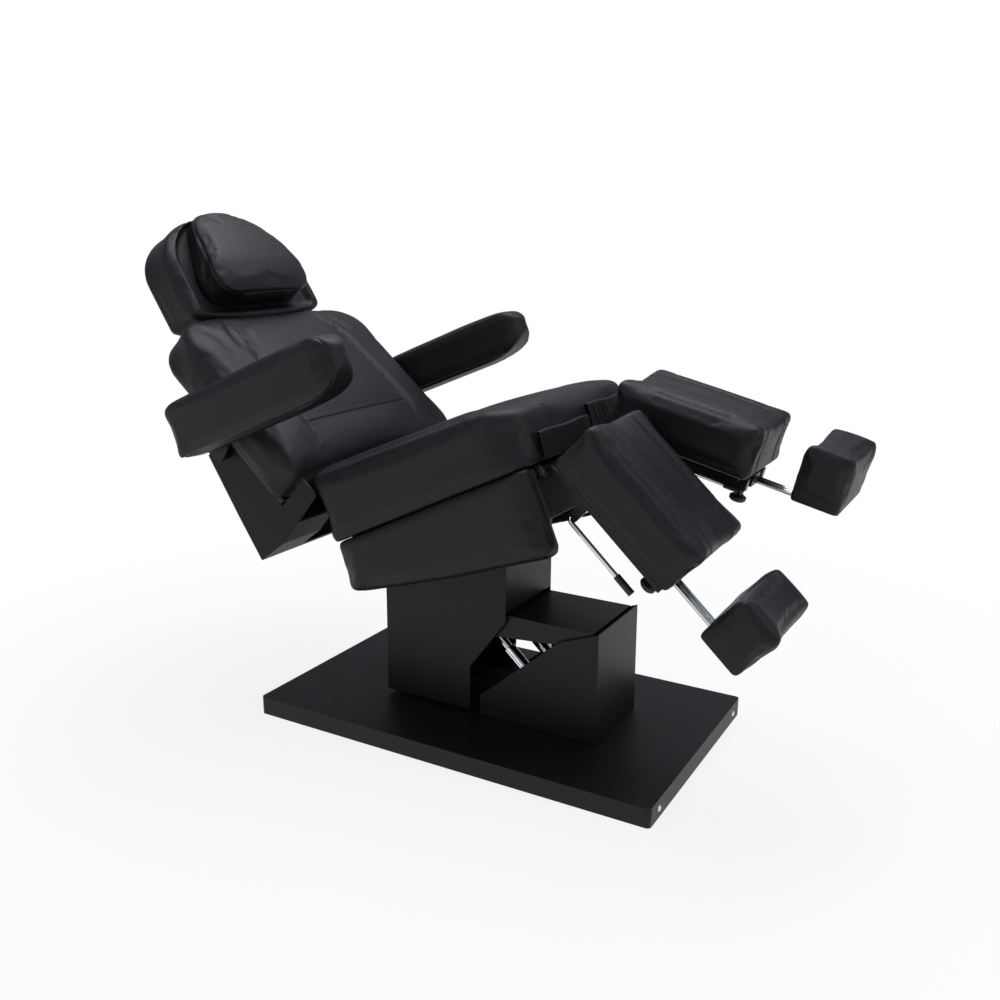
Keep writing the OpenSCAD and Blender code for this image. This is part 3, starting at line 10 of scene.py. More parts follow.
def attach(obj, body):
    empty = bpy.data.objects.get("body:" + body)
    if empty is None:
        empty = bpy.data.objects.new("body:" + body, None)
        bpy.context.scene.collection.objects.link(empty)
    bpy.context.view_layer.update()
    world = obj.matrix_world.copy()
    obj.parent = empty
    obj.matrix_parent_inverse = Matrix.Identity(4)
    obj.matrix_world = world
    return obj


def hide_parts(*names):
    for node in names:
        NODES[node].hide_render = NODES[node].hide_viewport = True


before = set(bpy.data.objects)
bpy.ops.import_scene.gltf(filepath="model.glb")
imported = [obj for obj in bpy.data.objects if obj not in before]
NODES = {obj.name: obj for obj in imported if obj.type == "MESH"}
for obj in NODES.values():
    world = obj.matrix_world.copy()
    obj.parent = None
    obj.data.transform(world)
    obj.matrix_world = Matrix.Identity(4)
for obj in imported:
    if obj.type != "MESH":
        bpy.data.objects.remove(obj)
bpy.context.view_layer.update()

SIDES = {"right": -1, "left": 1}
SEAM_RUN, SEAM_RISE = 0.537, 0.039  # the seat's seam line, along the seat and across it
SEAM_REAR = -0.180
RELAX_STEPS, CALM_STEPS = 2, 4  # smoothing after the remesh and after the cloth run
CLOTH_FRAMES = 20
HELD_LOW, HELD_HIGH = 0.006, 0.030  # heights over a pad's back where its skin comes free
THREAD_OFF = 0.005  # from a seam to each row of thread beside it
STITCH = ((-0.5, 0.3, -0.0002), (-0.25, 1, 0.0002), (0.25, 1, 0.0002), (0.5, 0.3, -0.0002))
DOWN = (0, 0, -1)


# ---------------------------------------------------------------- places
def raised(x, z, degrees, y=0.0):
    """A local frame at (x, y, z) with its +X raised by degrees."""
    return Matrix.Translation((x, y, z)) @ Matrix.Rotation(-math.radians(degrees), 4, "Y")


SEAT = raised(-0.070, 0.480, 21.5)
SEAM = SEAT @ raised(SEAM_REAR, 0.057, math.degrees(math.asin(SEAM_RISE / SEAM_RUN)))
BACK = SEAT @ raised(-0.2135, 0.151, 117.5)
HEAD = BACK @ raised(0.566, -0.067, -16.6)
ARM = BACK @ raised(0.259, 0.020, 22.5 - 139.0)
LEG = {"right": SEAT @ raised(0.335, 0.078, -64.5), "left": SEAT @ raised(0.335, 0.078, -35.5)}
MIRROR_Y = Matrix.Diagonal((1, -1, 1, 1))
MIRROR_Z = Matrix.Diagonal((1, 1, -1, 1))


# ---------------------------------------------------------------- materials
class Value:
    """A node socket that sums and products work on: each adds its own maths node."""

    def __init__(self, finish, socket):
        self.finish, self.socket = finish, socket

    def _sum(self, operation, first, second, clamp=False):
        return self.finish.node("Math", {"operation": operation, "use_clamp": clamp}, {0: first, 1: second})

    def __add__(self, other):
        return self._sum("ADD", self, other)

    def __radd__(self, other):
        return self._sum("ADD", other, self)

    def __sub__(self, other):
        return self._sum("SUBTRACT", self, other)

    def __rsub__(self, other):
        return self._sum("SUBTRACT", other, self)

    def __mul__(self, other):
        return self._sum("MULTIPLY", self, other)

    def __rmul__(self, other):
        return self._sum("MULTIPLY", other, self)

    def held(self):
        """The value kept between 0 and 1."""
        return self._sum("ADD", self, 0.0, clamp=True)


class Finish:
    """One node-based material, built call by call."""

    def __init__(self, name, **fixed):
        self.material = bpy.data.materials.new(name)
        self.material.use_nodes = True
        self.tree = self.material.node_tree
        self.shader = self.tree.nodes["Principled BSDF"]
        self.set(**fixed)
        self.place = self.node("TexCoord", outlet="Object")

    def feed(self, socket, value):
        if isinstance(value, Value):
            self.tree.links.new(value.socket, socket)
        elif value is not None:
            socket.default_value = value

    def node(self, kind, settings=None, values=None, outlet=0):
        made = self.tree.nodes.new("ShaderNode" + kind)
        for key, setting in (settings or {}).items():
            if key == "stops":
                ramp = made.color_ramp
                while len(ramp.elements) < len(setting):
                    ramp.elements.new(0.5)
                for element, (at, colour) in zip(ramp.elements, setting):
                    element.position, element.color = at, (*colour, 1.0)
            else:
                setattr(made, key, setting)
        for key, value in (values or {}).items():
            self.feed(made.inputs[key], value)
        return Value(self, made.outputs[outlet])

    def set(self, **sockets):
        for key, value in sockets.items():
            self.feed(self.shader.inputs[key.replace("_", " ")], value)

    def cloud(self, scale, detail=3.0, rough=0.5, at=None):
        """Soft noise, from 0 to 1."""
        values = {"Vector": at or self.place, "Scale": scale, "Detail": detail, "Roughness": rough}
        return self.node("TexNoise", values=values, outlet="Fac")

    def cells(self, scale, feature="F1"):
        values = {"Vector": self.place, "Scale": scale, "Randomness": 1.0}
        return self.node("TexVoronoi", {"feature": feature}, values, outlet="Distance")

    def stretched(self, x, y, z):
        return self.node("Mapping", values={"Vector": self.place, "Scale": (x, y, z)})

    def mixed(self, share, first, second):
        made = self.tree.nodes.new("ShaderNodeMix")
        made.data_type = "RGBA"
        self.feed(made.inputs["Factor"], share)
        for key, colour in (("A", first), ("B", second)):
            socket = [s for s in made.inputs if s.name == key and s.type == "RGBA"][0]
            self.feed(socket, colour if isinstance(colour, Value) else (*colour, 1.0))
        return Value(self, [s for s in made.outputs if s.type == "RGBA"][0])

    def bump(self, height, distance, strength):
        made = self.node("Bump", values={"Height": height, "Distance": distance, "Strength": strength},
                         outlet="Normal")
        self.set(Normal=made)


def leatherette(name, dark, light, grain=1.0, gloss=0.42, shine=0.26):
    f = Finish(name)
    pores = f.cells(620.0, "DISTANCE_TO_EDGE")
    folds = f.cells(210.0, "SMOOTH_F1")
    drift = f.cloud(5.0, 4.0, 0.55)
    fine = f.cloud(340.0, 3.0, 0.6)
    creases = (pores * 9.0).held()
    height = creases * 0.55 + folds * 0.25 + fine * 0.35 + f.cloud(42.0, 4.0, 0.6) * 0.6
    f.bump(height, 0.00030 * grain, 0.5)
    f.set(Base_Color=f.mixed((drift * 1.3 - 0.2).held(), dark, light),
          Roughness=(gloss + 0.10 * drift + 0.08 * (1 - creases) - 0.06 * fine).held())
    f.shader.inputs["Specular IOR Level"].default_value = shine
    return f.material


def painted(name, dark, light, rough=0.42, peel=0.00012, shine=0.26):
    f = Finish(name)
    f.shader.inputs["Specular IOR Level"].default_value = shine
    drift = f.cloud(3.0, 4.0, 0.6)
    dimple = f.cloud(420.0, 2.0, 0.5)
    scuff = (f.cloud(26.0, 6.0, 0.7) * 3.0 - 1.7).held()
    f.set(Base_Color=f.mixed((drift * 0.8 + scuff * 0.25).held(), dark, light),
          Roughness=(rough + 0.14 * scuff + 0.05 * dimple).held())
    f.bump(dimple + 0.4 * f.cloud(1100.0, 1.0), peel, 0.6)
    return f.material


def polished(name, colour, rough=0.08):
    f = Finish(name, Metallic=1.0, Base_Color=(*colour, 1.0))
    wipe = f.cloud(38.0, 5.0, 0.65)
    hair = f.cloud(900.0, 2.0, 0.6, at=f.stretched(0.12, 1.0, 0.12))
    f.set(Roughness=(rough + 0.10 * (wipe * 2.0 - 0.8).held() + 0.03 * hair).held())
    f.bump(hair, 0.00002, 0.3)
    return f.material


def moulded(name, dark, light, rough=0.45):
    f = Finish(name)
    fine = f.cloud(700.0, 2.0, 0.5)
    drift = f.cloud(18.0, 3.0, 0.5)
    f.set(Base_Color=f.mixed(drift, dark, light), Roughness=(rough + 0.08 * drift).held())
    f.bump(fine + 0.6 * f.cells(900.0), 0.00008, 0.5)
    return f.material


def plywood(name):
    f = Finish(name)
    grain = f.cloud(60.0, 6.0, 0.6, at=f.stretched(0.15, 1.0, 1.0))
    layers = f.cloud(9.0, 4.0, 0.6, at=f.stretched(0.3, 1.0, 3.0))
    dark, light = (0.010, 0.008, 0.007), (0.030, 0.025, 0.020)
    f.set(Base_Color=f.mixed((grain * 0.7 + layers * 0.4).held(), dark, light),
          Roughness=(0.6 + 0.15 * grain).held())
    f.bump(grain, 0.0002, 0.5)
    return f.material


LEATHER = leatherette("black_leatherette", (0.0055, 0.0058, 0.0072), (0.0105, 0.011, 0.0135))
LEATHER_FLAT = leatherette("black_leatherette_panels", (0.0045, 0.0048, 0.006), (0.008, 0.0085, 0.0105),
                           0.8, 0.46, 0.22)
THREAD = moulded("black_thread", (0.008, 0.008, 0.009), (0.014, 0.014, 0.016), 0.6)
COVER_PAINT = painted("satin_black_cover", (0.0045, 0.0047, 0.0055), (0.009, 0.0094, 0.011), 0.42)
FRAME_PAINT = painted("black_frame_paint", (0.006, 0.006, 0.0065), (0.011, 0.011, 0.012), 0.36)
CHROME = polished("polished_chrome", (0.74, 0.75, 0.77))
PLASTIC = moulded("black_plastic", (0.006, 0.006, 0.0066), (0.011, 0.011, 0.012))
BOARD = plywood("stained_plywood")


# ---------------------------------------------------------------- meshes
def new_piece(name, points, faces, material, smooth=True):
    mesh = bpy.data.meshes.new(name)
    mesh.from_pydata([tuple(p) for p in points], [], [tuple(f) for f in faces])
    mesh.validate()
    made = bmesh.new()
    made.from_mesh(mesh)
    bmesh.ops.recalc_face_normals(made, faces=made.faces)
    made.to_mesh(mesh)
    made.free()
    mesh.materials.append(material)
    if smooth:
        mesh.shade_smooth()
    piece = bpy.data.objects.new(name, mesh)
    bpy.context.scene.collection.objects.link(piece)
    return piece


def coordinates(mesh):
    flat = np.empty(len(mesh.vertices) * 3, np.float32)
    mesh.vertices.foreach_get("co", flat)
    return flat.reshape(-1, 3).astype(float)


def normals(mesh):
    flat = np.empty(len(mesh.vertices) * 3, np.float32)
    mesh.vertices.foreach_get("normal", flat)
    return flat.reshape(-1, 3).astype(float)


def write(mesh, points):
    mesh.vertices.foreach_set("co", points.astype(np.float32).ravel())
    mesh.update()


def eased(low, high, x):
    t = np.clip((x - low) / (high - low), 0, 1)
    return t * t * (3 - 2 * t)


def rounded_half(x, length, half, r_start, r_end):
    """Half width of a rounded outline at x, with its own corner radius at each end."""
    a = np.clip(r_start - x, 0, r_start)
    b = np.clip(x - length + r_end, 0, r_end)
    return half - (r_start - np.sqrt(r_start ** 2 - a ** 2)) - (r_end - np.sqrt(r_end ** 2 - b ** 2))


def crown(x, y, length, half):
    """Height share of a stuffed top: one in the middle and zero at the edges."""
    return (1 - np.abs(2 * x / length - 1) ** 3) * (1 - np.clip(np.abs(y) / half, 0, 1) ** 3)


def pad_shape(length, half, top, low, edge, waist, rows=40, columns=30):
    """Points and faces of a stuffed pad on a flat back at z = 0, its sides drawn in a little."""
    ring = [(waist, 0), (waist * 0.3, 0.04), (0, 0.10), (waist * 0.7, 0.26), (waist, 0.46),
            (waist * 0.7, 0.66), (0, 0.84)]
    for k in range(1, 7):
        a = math.pi / 12 * k
        ring.append((edge * (1 - math.cos(a)), 0.84 + 0.16 * math.sin(a)))
    xs = [length / 2 * (1 - math.cos(math.pi * i / rows)) for i in range(rows + 1)]
    ts = [-math.cos(math.pi * j / columns) * 0.35 + (2 * j / columns - 1) * 0.65
          for j in range(columns + 1)]
    middle = length / 2

    def place(i, j, inset):
        x = middle + (xs[i] - middle) * (1 - inset / middle)
        wide = float(half(xs[i]))
        return x, ts[j] * max(wide * 0.2, wide - inset)

    def point(i, j, inset, share):
        x, y = place(i, j, inset)
        z0, z1 = float(low(x)), float(top(x, y))
        return x, y, z0 + (z1 - z0) * share

    order = [(0, j) for j in range(columns)] + [(i, columns) for i in range(rows)]
    order += [(rows, j) for j in range(columns, 0, -1)] + [(i, 0) for i in range(rows, 0, -1)]
    count = len(order)
    points = [point(i, j, inset, share) for inset, share in ring for i, j in order]
    faces = []
    for k in range(len(ring) - 1):
        for m in range(count):
            a, b = k * count + m, k * count + (m + 1) % count
            faces.append((a, b, b + count, a + count))
    for floor, inset, share in ((0, ring[0][0], 0.0), (len(ring) - 1, ring[-1][0], 1.0)):
        index = {ij: floor * count + m for m, ij in enumerate(order)}
        for i in range(1, rows):
            for j in range(1, columns):
                index[i, j] = len(points)
                points.append(point(i, j, inset, share))
        for i in range(rows):
            for j in range(columns):
                faces.append((index[i, j], index[i, j + 1], index[i + 1, j + 1], index[i + 1, j]))
    return points, faces


def evaluated(piece):
    graph = bpy.context.evaluated_depsgraph_get()
    graph.update()
    return bpy.data.meshes.new_from_object(piece.evaluated_get(graph), depsgraph=graph)


def keep_result(piece):
    """Bakes the modifiers of a piece into its mesh."""
    done, old = evaluated(piece), piece.data
    piece.modifiers.clear()
    piece.data = done
    bpy.data.meshes.remove(old)
    return done


def remesh(piece, voxel):
    step = piece.modifiers.new("remesh", "REMESH")
    step.mode, step.voxel_size = "VOXEL", voxel
    keep_result(piece)
    smooth = piece.modifiers.new("relax", "SMOOTH")
    smooth.factor, smooth.iterations = 0.5, RELAX_STEPS
    return keep_result(piece)


def swell(piece, held, pressure, cap, voxel):
    """Stuffs a pad: its skin is cloth blown up from inside and held where held(points) is 1."""
    mesh = remesh(piece, voxel)
    before = coordinates(mesh)
    hold = held(before)
    group = piece.vertex_groups.new(name="held")
    for level in (0.5, 1.0):
        chosen = np.nonzero((hold > level - 0.25) & (hold <= level + 0.25))[0]
        group.add([int(v) for v in chosen], level, "REPLACE")
    cloth = piece.modifiers.new("skin", "CLOTH")
    s = cloth.settings
    s.quality, s.mass = 4, 0.25
    s.tension_stiffness = s.compression_stiffness = 12
    s.shear_stiffness, s.bending_stiffness = 4, 0.4
    s.use_pressure, s.uniform_pressure_force = True, pressure
    s.effector_weights.gravity = 0
    s.vertex_group_mass, s.pin_stiffness = "held", 1.0
    cloth.collision_settings.use_collision = False
    cloth.point_cache.frame_start, cloth.point_cache.frame_end = 1, CLOTH_FRAMES
    scene = bpy.context.scene
    for number in range(1, CLOTH_FRAMES + 1):
        scene.frame_set(number)
    after = coordinates(evaluated(piece))
    scene.frame_set(1)
    piece.modifiers.clear()
    piece.vertex_groups.clear()
    moved = after - before
    size = np.linalg.norm(moved, axis=1, keepdims=True)
    moved *= np.minimum(1.0, cap / np.maximum(size, 1e-9))
    write(mesh, before + moved * (1 - hold)[:, None])
    calm = piece.modifiers.new("calm", "SMOOTH")
    calm.factor, calm.iterations = 0.5, CALM_STEPS
    mesh = keep_result(piece)
    fine = piece.modifiers.new("fine", "SUBSURF")
    fine.levels = fine.render_levels = 1
    return keep_result(piece)


def press(mesh, seams, depth=0.0024, width=0.0026, pucker=0.00012):
    """Draws sewn seams into a skin. Each seam gives every point's distance from its line."""
    p, n = coordinates(mesh), normals(mesh)
    for seam in seams:
        d, run = seam(p, n)
        groove = np.exp(-(d / width) ** 2)
        swell_by = np.exp(-((np.abs(d) - 2.6 * width) / (1.5 * width)) ** 2)
        ripple = np.sin(run * 2 * np.pi / 0.021 + 3 * np.sin(run * 37.0)) * pucker
        p -= n * (depth * groove)[:, None]
        p += n * (swell_by * (0.0004 + ripple))[:, None]
    write(mesh, p)


def crease(mesh, lines, width=0.006, depth=0.002):
    """Soft folds in a skin: each line runs through points of the local face."""
    p, n = coordinates(mesh), normals(mesh)
    for line, deep in lines:
        d = np.full(len(p), 1e3)
        along = np.zeros(len(p))
        for k in range(len(line) - 1):
            a, b = np.array(line[k]), np.array(line[k + 1])
            ab = b - a
            t = np.clip(((p[:, :2] - a) @ ab) / (ab @ ab), 0, 1)
            near = np.linalg.norm(p[:, :2] - (a + t[:, None] * ab), axis=1)
            closer = near < d
            d[closer] = near[closer]
            along[closer] = (k + t[closer]) / (len(line) - 1)
        fade = np.sin(np.pi * np.clip(along, 0, 1)) ** 0.6
        face = eased(0.2, 0.6, n[:, 2])
        p -= n * (deep * depth * fade * face * np.exp(-(d / width) ** 2))[:, None]
        p += n * (0.5 * deep * depth * fade * face * np.exp(-((d - 2 * width) / width) ** 2))[:, None]
    write(mesh, p)


def ripples(mesh, height, scale, seed, low=0.0):
    """Uneven stuffing: slow waves over the whole skin."""
    p, n = coordinates(mesh), normals(mesh)
    offset = Vector((seed * 3.1, seed * 1.7, seed * 2.3))
    wave = np.array([noise.noise(Vector(q) * scale + offset) for q in p])
    p += n * (wave * height * eased(low, low + 0.02, p[:, 2]))[:, None]
    write(mesh, p)


def stitches(name, mesh, rows, pitch=0.0060, long=0.0042, thick=0.00035):
    """Thread along seams: short round stitches lying on the skin."""
    skin = BVHTree.FromPolygons([v.co for v in mesh.vertices], [p.vertices for p in mesh.polygons])
    points, faces = [], []
    for line, towards in rows:
        spots = []
        for q in line:
            hit = skin.ray_cast(Vector(q) - Vector(towards) * 0.4, Vector(towards))
            if hit[0] is not None:
                spots.append((hit[0], hit[1]))
        if len(spots) < 2:
            continue
        lengths = [0.0]
        for a, b in zip(spots, spots[1:]):
            lengths.append(lengths[-1] + (b[0] - a[0]).length)
        count = int(lengths[-1] / pitch)
        k = 0
        for number in range(count):
            at = (number + 0.5) * pitch
            while lengths[k + 1] < at:
                k += 1
            t = (at - lengths[k]) / max(lengths[k + 1] - lengths[k], 1e-9)
            centre = spots[k][0].lerp(spots[k + 1][0], t)
            run = (spots[k + 1][0] - spots[k][0]).normalized()
            out = spots[k][1]
            across = run.cross(out).normalized()
            base = len(points)
            for s, r, lift in STITCH:
                for c in range(6):
                    a = math.pi / 3 * c
                    ring = across * math.cos(a) + out * math.sin(a)
                    points.append(centre + run * (s * long) + out * lift + ring * (thick * r))
            for s in range(3):
                for c in range(6):
                    a, b = base + s * 6 + c, base + s * 6 + (c + 1) % 6
                    faces.append((a, b, b + 6, a + 6))
            faces.append([base + c for c in range(6)])
            faces.append([base + 18 + c for c in range(6)])
    return new_piece(name, points, faces, THREAD)


def settled(piece, place, body, nodes=()):
    """Puts a piece made in a local frame where its CAD solids are."""
    piece.data.transform(place)
    if place.determinant() < 0:
        piece.data.flip_normals()
    piece.data.update()
    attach(piece, body)
    if nodes:
        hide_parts(*nodes)


def thread_rows(xs, y_of, height):
    """Two rows of thread beside each of a pair of seams that run along x."""
    return [([(x, s * (float(y_of(x)) + o), height) for x in xs], DOWN)
            for s in (-1, 1) for o in (-THREAD_OFF, THREAD_OFF)]


def lengthwise(y_of, face=True):
    """A seam along x at y = y_of(x), on the face only or over the end as well."""
    def seam(p, n):
        d = p[:, 1] - y_of(p[:, 0])
        shown = n[:, 2] > 0.35 if face else np.ones(len(p), bool)
        return np.where(shown, d, 1.0), p[:, 0] + p[:, 2]
    return seam


def crosswise(x_at, y_half):
    def seam(p, n):
        d = np.hypot(p[:, 0] - x_at, np.maximum(0, np.abs(p[:, 1]) - y_half))
        return np.where(n[:, 2] > 0.35, d, 1.0), p[:, 1]
    return seam


def around(z_of):
    """A seam round the sides at height z_of(x, y)."""
    def seam(p, n):
        d = p[:, 2] - z_of(p[:, 0], p[:, 1])
        return np.where(n[:, 2] < 0.8, d, 1.0), p[:, 0] + p[:, 1]
    return seam


def flat(x):
    return 0.0


def held_back(seams=(), width=0.004):
    """Holds a pad's back and its seam lines while the rest swells."""
    def hold(p):
        share = 1 - eased(HELD_LOW, HELD_HIGH, p[:, 2])
        up = np.tile((0.0, 0.0, 1.0), (len(p), 1))
        for seam in seams:
            share = np.maximum(share, np.exp(-(seam(p, up)[0] / width) ** 4))
        return share
    return hold


# ---------------------------------------------------------------- upholstery
def seat_pad():
    length, wide = 0.548, 0.288
    half = lambda x: rounded_half(np.asarray(x), length, wide, 0.014, 0.075)
    top = lambda x, y: (0.170 - 0.028 * x / length - 0.010 + 0.008 * crown(x, y, length, wide)
                        - 0.022 * max(0, (x - length) / 0.11 + 1) ** 2)
    piece = new_piece("seat_cushion_sewn", *pad_shape(length, half, top, flat, 0.013, 0.003), LEATHER)
    line = lambda x: 0.62 * half(np.clip(x, 0, length))
    seams = [lengthwise(line), lengthwise(lambda x: -line(x))]
    mesh = swell(piece, held_back(seams=seams), 4.0, 0.006, 0.0065)
    press(mesh, seams)
    folds = [([(0.50, -0.10), (0.44, -0.15), (0.36, -0.17)], 0.8),
             ([(0.50, 0.12), (0.45, 0.15), (0.38, 0.17)], 0.7),
             ([(0.03, -0.05), (0.05, 0.04), (0.04, 0.12)], 0.8)]
    crease(mesh, folds, 0.012, 0.0016)
    ripples(mesh, 0.0014, 7.0, 1)
    xs = np.linspace(0.02, length - 0.02, 60)
    rows = thread_rows(xs, line, 0.4)
    thread = stitches("seat_cushion_stitches", mesh, rows)
    place = SEAM @ Matrix.Translation((-0.012, 0, 0))
    settled(piece, place, "seat", ["seat_cushion"])
    settled(thread, place, "seat")


def back_pad():
    length, wide = 0.477, 0.325
    half = lambda x: rounded_half(np.asarray(x), length, wide, 0.028, 0.100)
    top = lambda x, y: (0.115 - 0.009 + 0.012 * crown(x, y, length, wide)
                        - 0.014 * max(0, (x - length) / 0.09 + 1) ** 2
                        - 0.014 * max(0, 1 - x / 0.06) ** 2)
    piece = new_piece("back_cushion_sewn", *pad_shape(length, half, top, flat, 0.018, 0.003), LEATHER)
    line = lambda x: 0.206 - 0.09 * x
    cross = 0.112
    seams = [lengthwise(line), lengthwise(lambda x: -line(x)), crosswise(cross, 0.190)]
    mesh = swell(piece, held_back(seams=seams), 4.0, 0.006, 0.0065)
    press(mesh, seams)
    folds = [([(0.455, -0.15), (0.41, -0.185), (0.34, -0.205)], 1.6),
             ([(0.445, -0.09), (0.42, -0.14), (0.37, -0.17)], 0.8),
             ([(0.31, -0.02), (0.27, 0.05), (0.25, 0.13)], 1.0),
             ([(0.455, 0.12), (0.41, 0.15), (0.36, 0.168)], 0.9),
             ([(0.445, -0.275), (0.39, -0.245), (0.33, -0.235)], 0.9)]
    crease(mesh, folds, 0.014, 0.0022)
    ripples(mesh, 0.0016, 7.0, 2)
    xs = np.linspace(0.015, length - 0.03, 60)
    rows = thread_rows(xs, line, 0.4)
    ys = np.linspace(-0.18, 0.18, 40)
    rows += [([(cross + o, y, 0.4) for y in ys], DOWN) for o in (-THREAD_OFF, THREAD_OFF)]
    thread = stitches("back_cushion_stitches", mesh, rows)
    place = BACK @ Matrix.Translation((0.057, 0, 0.040)) @ MIRROR_Z
    settled(piece, place, "back", ["back_cushion"])
    settled(thread, place, "back")


def head_pads():
    length, wide, thick, edge, straight = 0.299, 0.231, 0.104, 0.016, 0.150

    def half(x):
        low, high = max(0.0, 1 - x / 0.030), max(0.0, (x - straight) / (length - straight))
        return wide * math.sqrt(max(0.06, 1 - low ** 2 - high ** 2))

    def top(x, y):
        share = abs(y) / max(0.01, half(x) - edge)
        dip = eased(0, 1, (0.955 - share) / 0.08) * eased(0, 1, (x - 0.018) / 0.020)
        dip *= eased(0, 1, (length - 0.005 - x) / 0.016)
        return thick - 0.004 + 0.004 * crown(x, y, length, wide) - 0.022 * dip
    shape = pad_shape(length, half, top, flat, edge, 0.003, 64, 64)
    piece = new_piece("headrest_base_sewn", *shape, LEATHER)
    mesh = swell(piece, held_back(), 3.0, 0.004, 0.005)
    ripples(mesh, 0.0012, 12.0, 3)
    settled(piece, HEAD @ Matrix.Translation((-0.050, 0, thick)) @ MIRROR_Z, "headrest", ["headrest_base"])

    p_len, p_wide, level = 0.252, 0.162, 0.076

    def p_half(x):
        corner = float(rounded_half(np.asarray(x), p_len, p_wide, 0.050, 0.060))
        return corner - 0.062 * max(0, x - level) / (p_len - level)

    def p_top(x, y):
        return (0.0880 - 0.054 * max(0, (x - level) / (p_len - level)) ** 1.5
                - 0.010 * min(1, abs(y) / p_half(x)) ** 2 - 0.003)
    shape = pad_shape(p_len, p_half, p_top, flat, 0.012, 0.003)
    pillow = new_piece("headrest_pillow_sewn", *shape, LEATHER)
    mesh = swell(pillow, held_back(), 4.0, 0.005, 0.005)
    welt = around(lambda x, y: 0.064 - 0.044 * np.clip((x - level) / (p_len - level), 0, 1))
    press(mesh, [welt], 0.0018, 0.0026)
    ripples(mesh, 0.0012, 12.0, 4)
    place = HEAD @ Matrix.Translation((-0.006, 0, 0.0217)) @ MIRROR_Z
    settled(pillow, place, "headrest", ["headrest_pillow"])


def arm_pads():
    length, wide, chin = 0.500, 0.0425, 0.110
    below = {"right": 0.032, "left": 0.020}
    half = lambda x: rounded_half(np.asarray(x), length, wide, 0.008, 0.040)

    def top(x, y, high):
        return (high - 0.003 + 0.004 * crown(x, y, length, wide) - 0.012 * max(0, 1 - x / 0.04) ** 2
                - 0.028 * max(0, (x - length) / 0.05 + 1) ** 2)

    def low(x):
        reach = max(0.0, (x - length) / chin + 1)
        return 0.062 * (1 - math.sqrt(max(0.0, 1 - reach ** 2)))
    for name, sign in SIDES.items():
        face = lambda x, y, high=0.095 + below[name]: top(x, y, high)
        shape = pad_shape(length, half, face, low, 0.009, 0.0015, 56, 14)
        piece = new_piece(f"armrest_{name}_sewn", *shape, LEATHER)

        def held(p):
            return 1 - eased(-wide + 0.004, -wide + 0.020, p[:, 1])
        mesh = swell(piece, held, 3.0, 0.004, 0.0055)
        edge = lambda p, n: (np.where(n[:, 2] < 0.9, p[:, 1] - 0.030, 1.0), p[:, 0] + p[:, 2])
        press(mesh, [edge], 0.0014)
        ripples(mesh, 0.0010, 9.0, 5 + sign)
        place = ARM @ Matrix.Translation((-0.068, 0.338 + wide, -below[name]))
        place = (MIRROR_Y @ place) if sign < 0 else place
        settled(piece, place, f"armrest_{name}", [f"armrest_pad_{name}"])


def leg_pads():
    length, wide, thick = 0.327, 0.127, 0.121
    half = lambda x: rounded_half(np.asarray(x), length, wide, 0.011, 0.012)

    def top(x, y):
        s = abs(y) / wide
        return (thick - 0.007 + 0.004 * crown(x, y, length, wide) - 0.016 * max(0, 1 - s / 0.72) ** 0.8)
    seam_y, edge_y = 0.064, 0.108
    seams = [lengthwise(lambda x, s=s: s * seam_y + 0 * x, face=False) for s in (-1, 1)]
    f_len, f_wide, f_high = 0.102, 0.115, 0.127
    along = {"right": 0.437, "left": 0.427}
    f_half = lambda x: rounded_half(np.asarray(x), f_len, f_wide, 0.008, 0.008)
    f_top = lambda x, y: (f_high - 0.014 * (1 - (y / f_wide) ** 2) - 0.003
                          + 0.002 * crown(x, y, f_len, f_wide))
    for name, sign in SIDES.items():
        flip = MIRROR_Y if sign < 0 else Matrix()
        shape = pad_shape(length, half, top, flat, 0.010, 0.004, 40, 36)
        piece = new_piece(f"leg_cushion_{name}_sewn", *shape, LEATHER)
        mesh = swell(piece, held_back(seams=seams), 4.0, 0.006, 0.0055)
        press(mesh, seams)
        edges = [lambda p, n, s=s: (np.where(n[:, 2] < 0.97, p[:, 1] - s * edge_y, 1.0), p[:, 0] + p[:, 2])
                 for s in (-1, 1)]
        press(mesh, edges, 0.0012)
        ripples(mesh, 0.0013, 9.0, 7 + sign)
        xs = np.linspace(0.01, length - 0.012, 40)
        rows = [([(x, s * seam_y + o, 0.3) for x in xs], DOWN)
                for s in (-1, 1) for o in (-THREAD_OFF, THREAD_OFF)]
        thread = stitches(f"leg_cushion_{name}_stitches", mesh, rows)
        place = LEG[name] @ Matrix.Translation((0.012, sign * 0.146, 0.051)) @ flip
        settled(piece, place, f"leg_{name}", [f"leg_cushion_{name}"])
        settled(thread, place, f"leg_{name}")

        shape = pad_shape(f_len, f_half, f_top, flat, 0.008, 0.002, 24, 36)
        foot = new_piece(f"foot_pad_{name}_sewn", *shape, LEATHER)
        mesh = swell(foot, held_back(), 3.0, 0.004, 0.0040)
        ripples(mesh, 0.0010, 14.0, 9 + sign)
        place = LEG[name] @ Matrix.Translation((along[name], sign * 0.148, 0.045)) @ flip
        settled(foot, place, f"foot_{name}", [f"foot_pad_{name}"])


def skin_from_solid(name, node, body, place, held, seed):
    """A sewn piece grown on the solid's own shape, worked in a local frame."""
    source = NODES[node].data.copy()
    source.transform(place.inverted())
    points = [tuple(v.co) for v in source.vertices]
    piece = new_piece(name, points, [tuple(p.vertices) for p in source.polygons], LEATHER)
    weld = piece.modifiers.new("weld", "WELD")
    weld.merge_threshold = 1e-5
    keep_result(piece)
    mesh = swell(piece, held, 3.0, 0.005, 0.006)
    ripples(mesh, 0.0012, 10.0, seed, low=-9.0)
    settled(piece, place, body, [node])


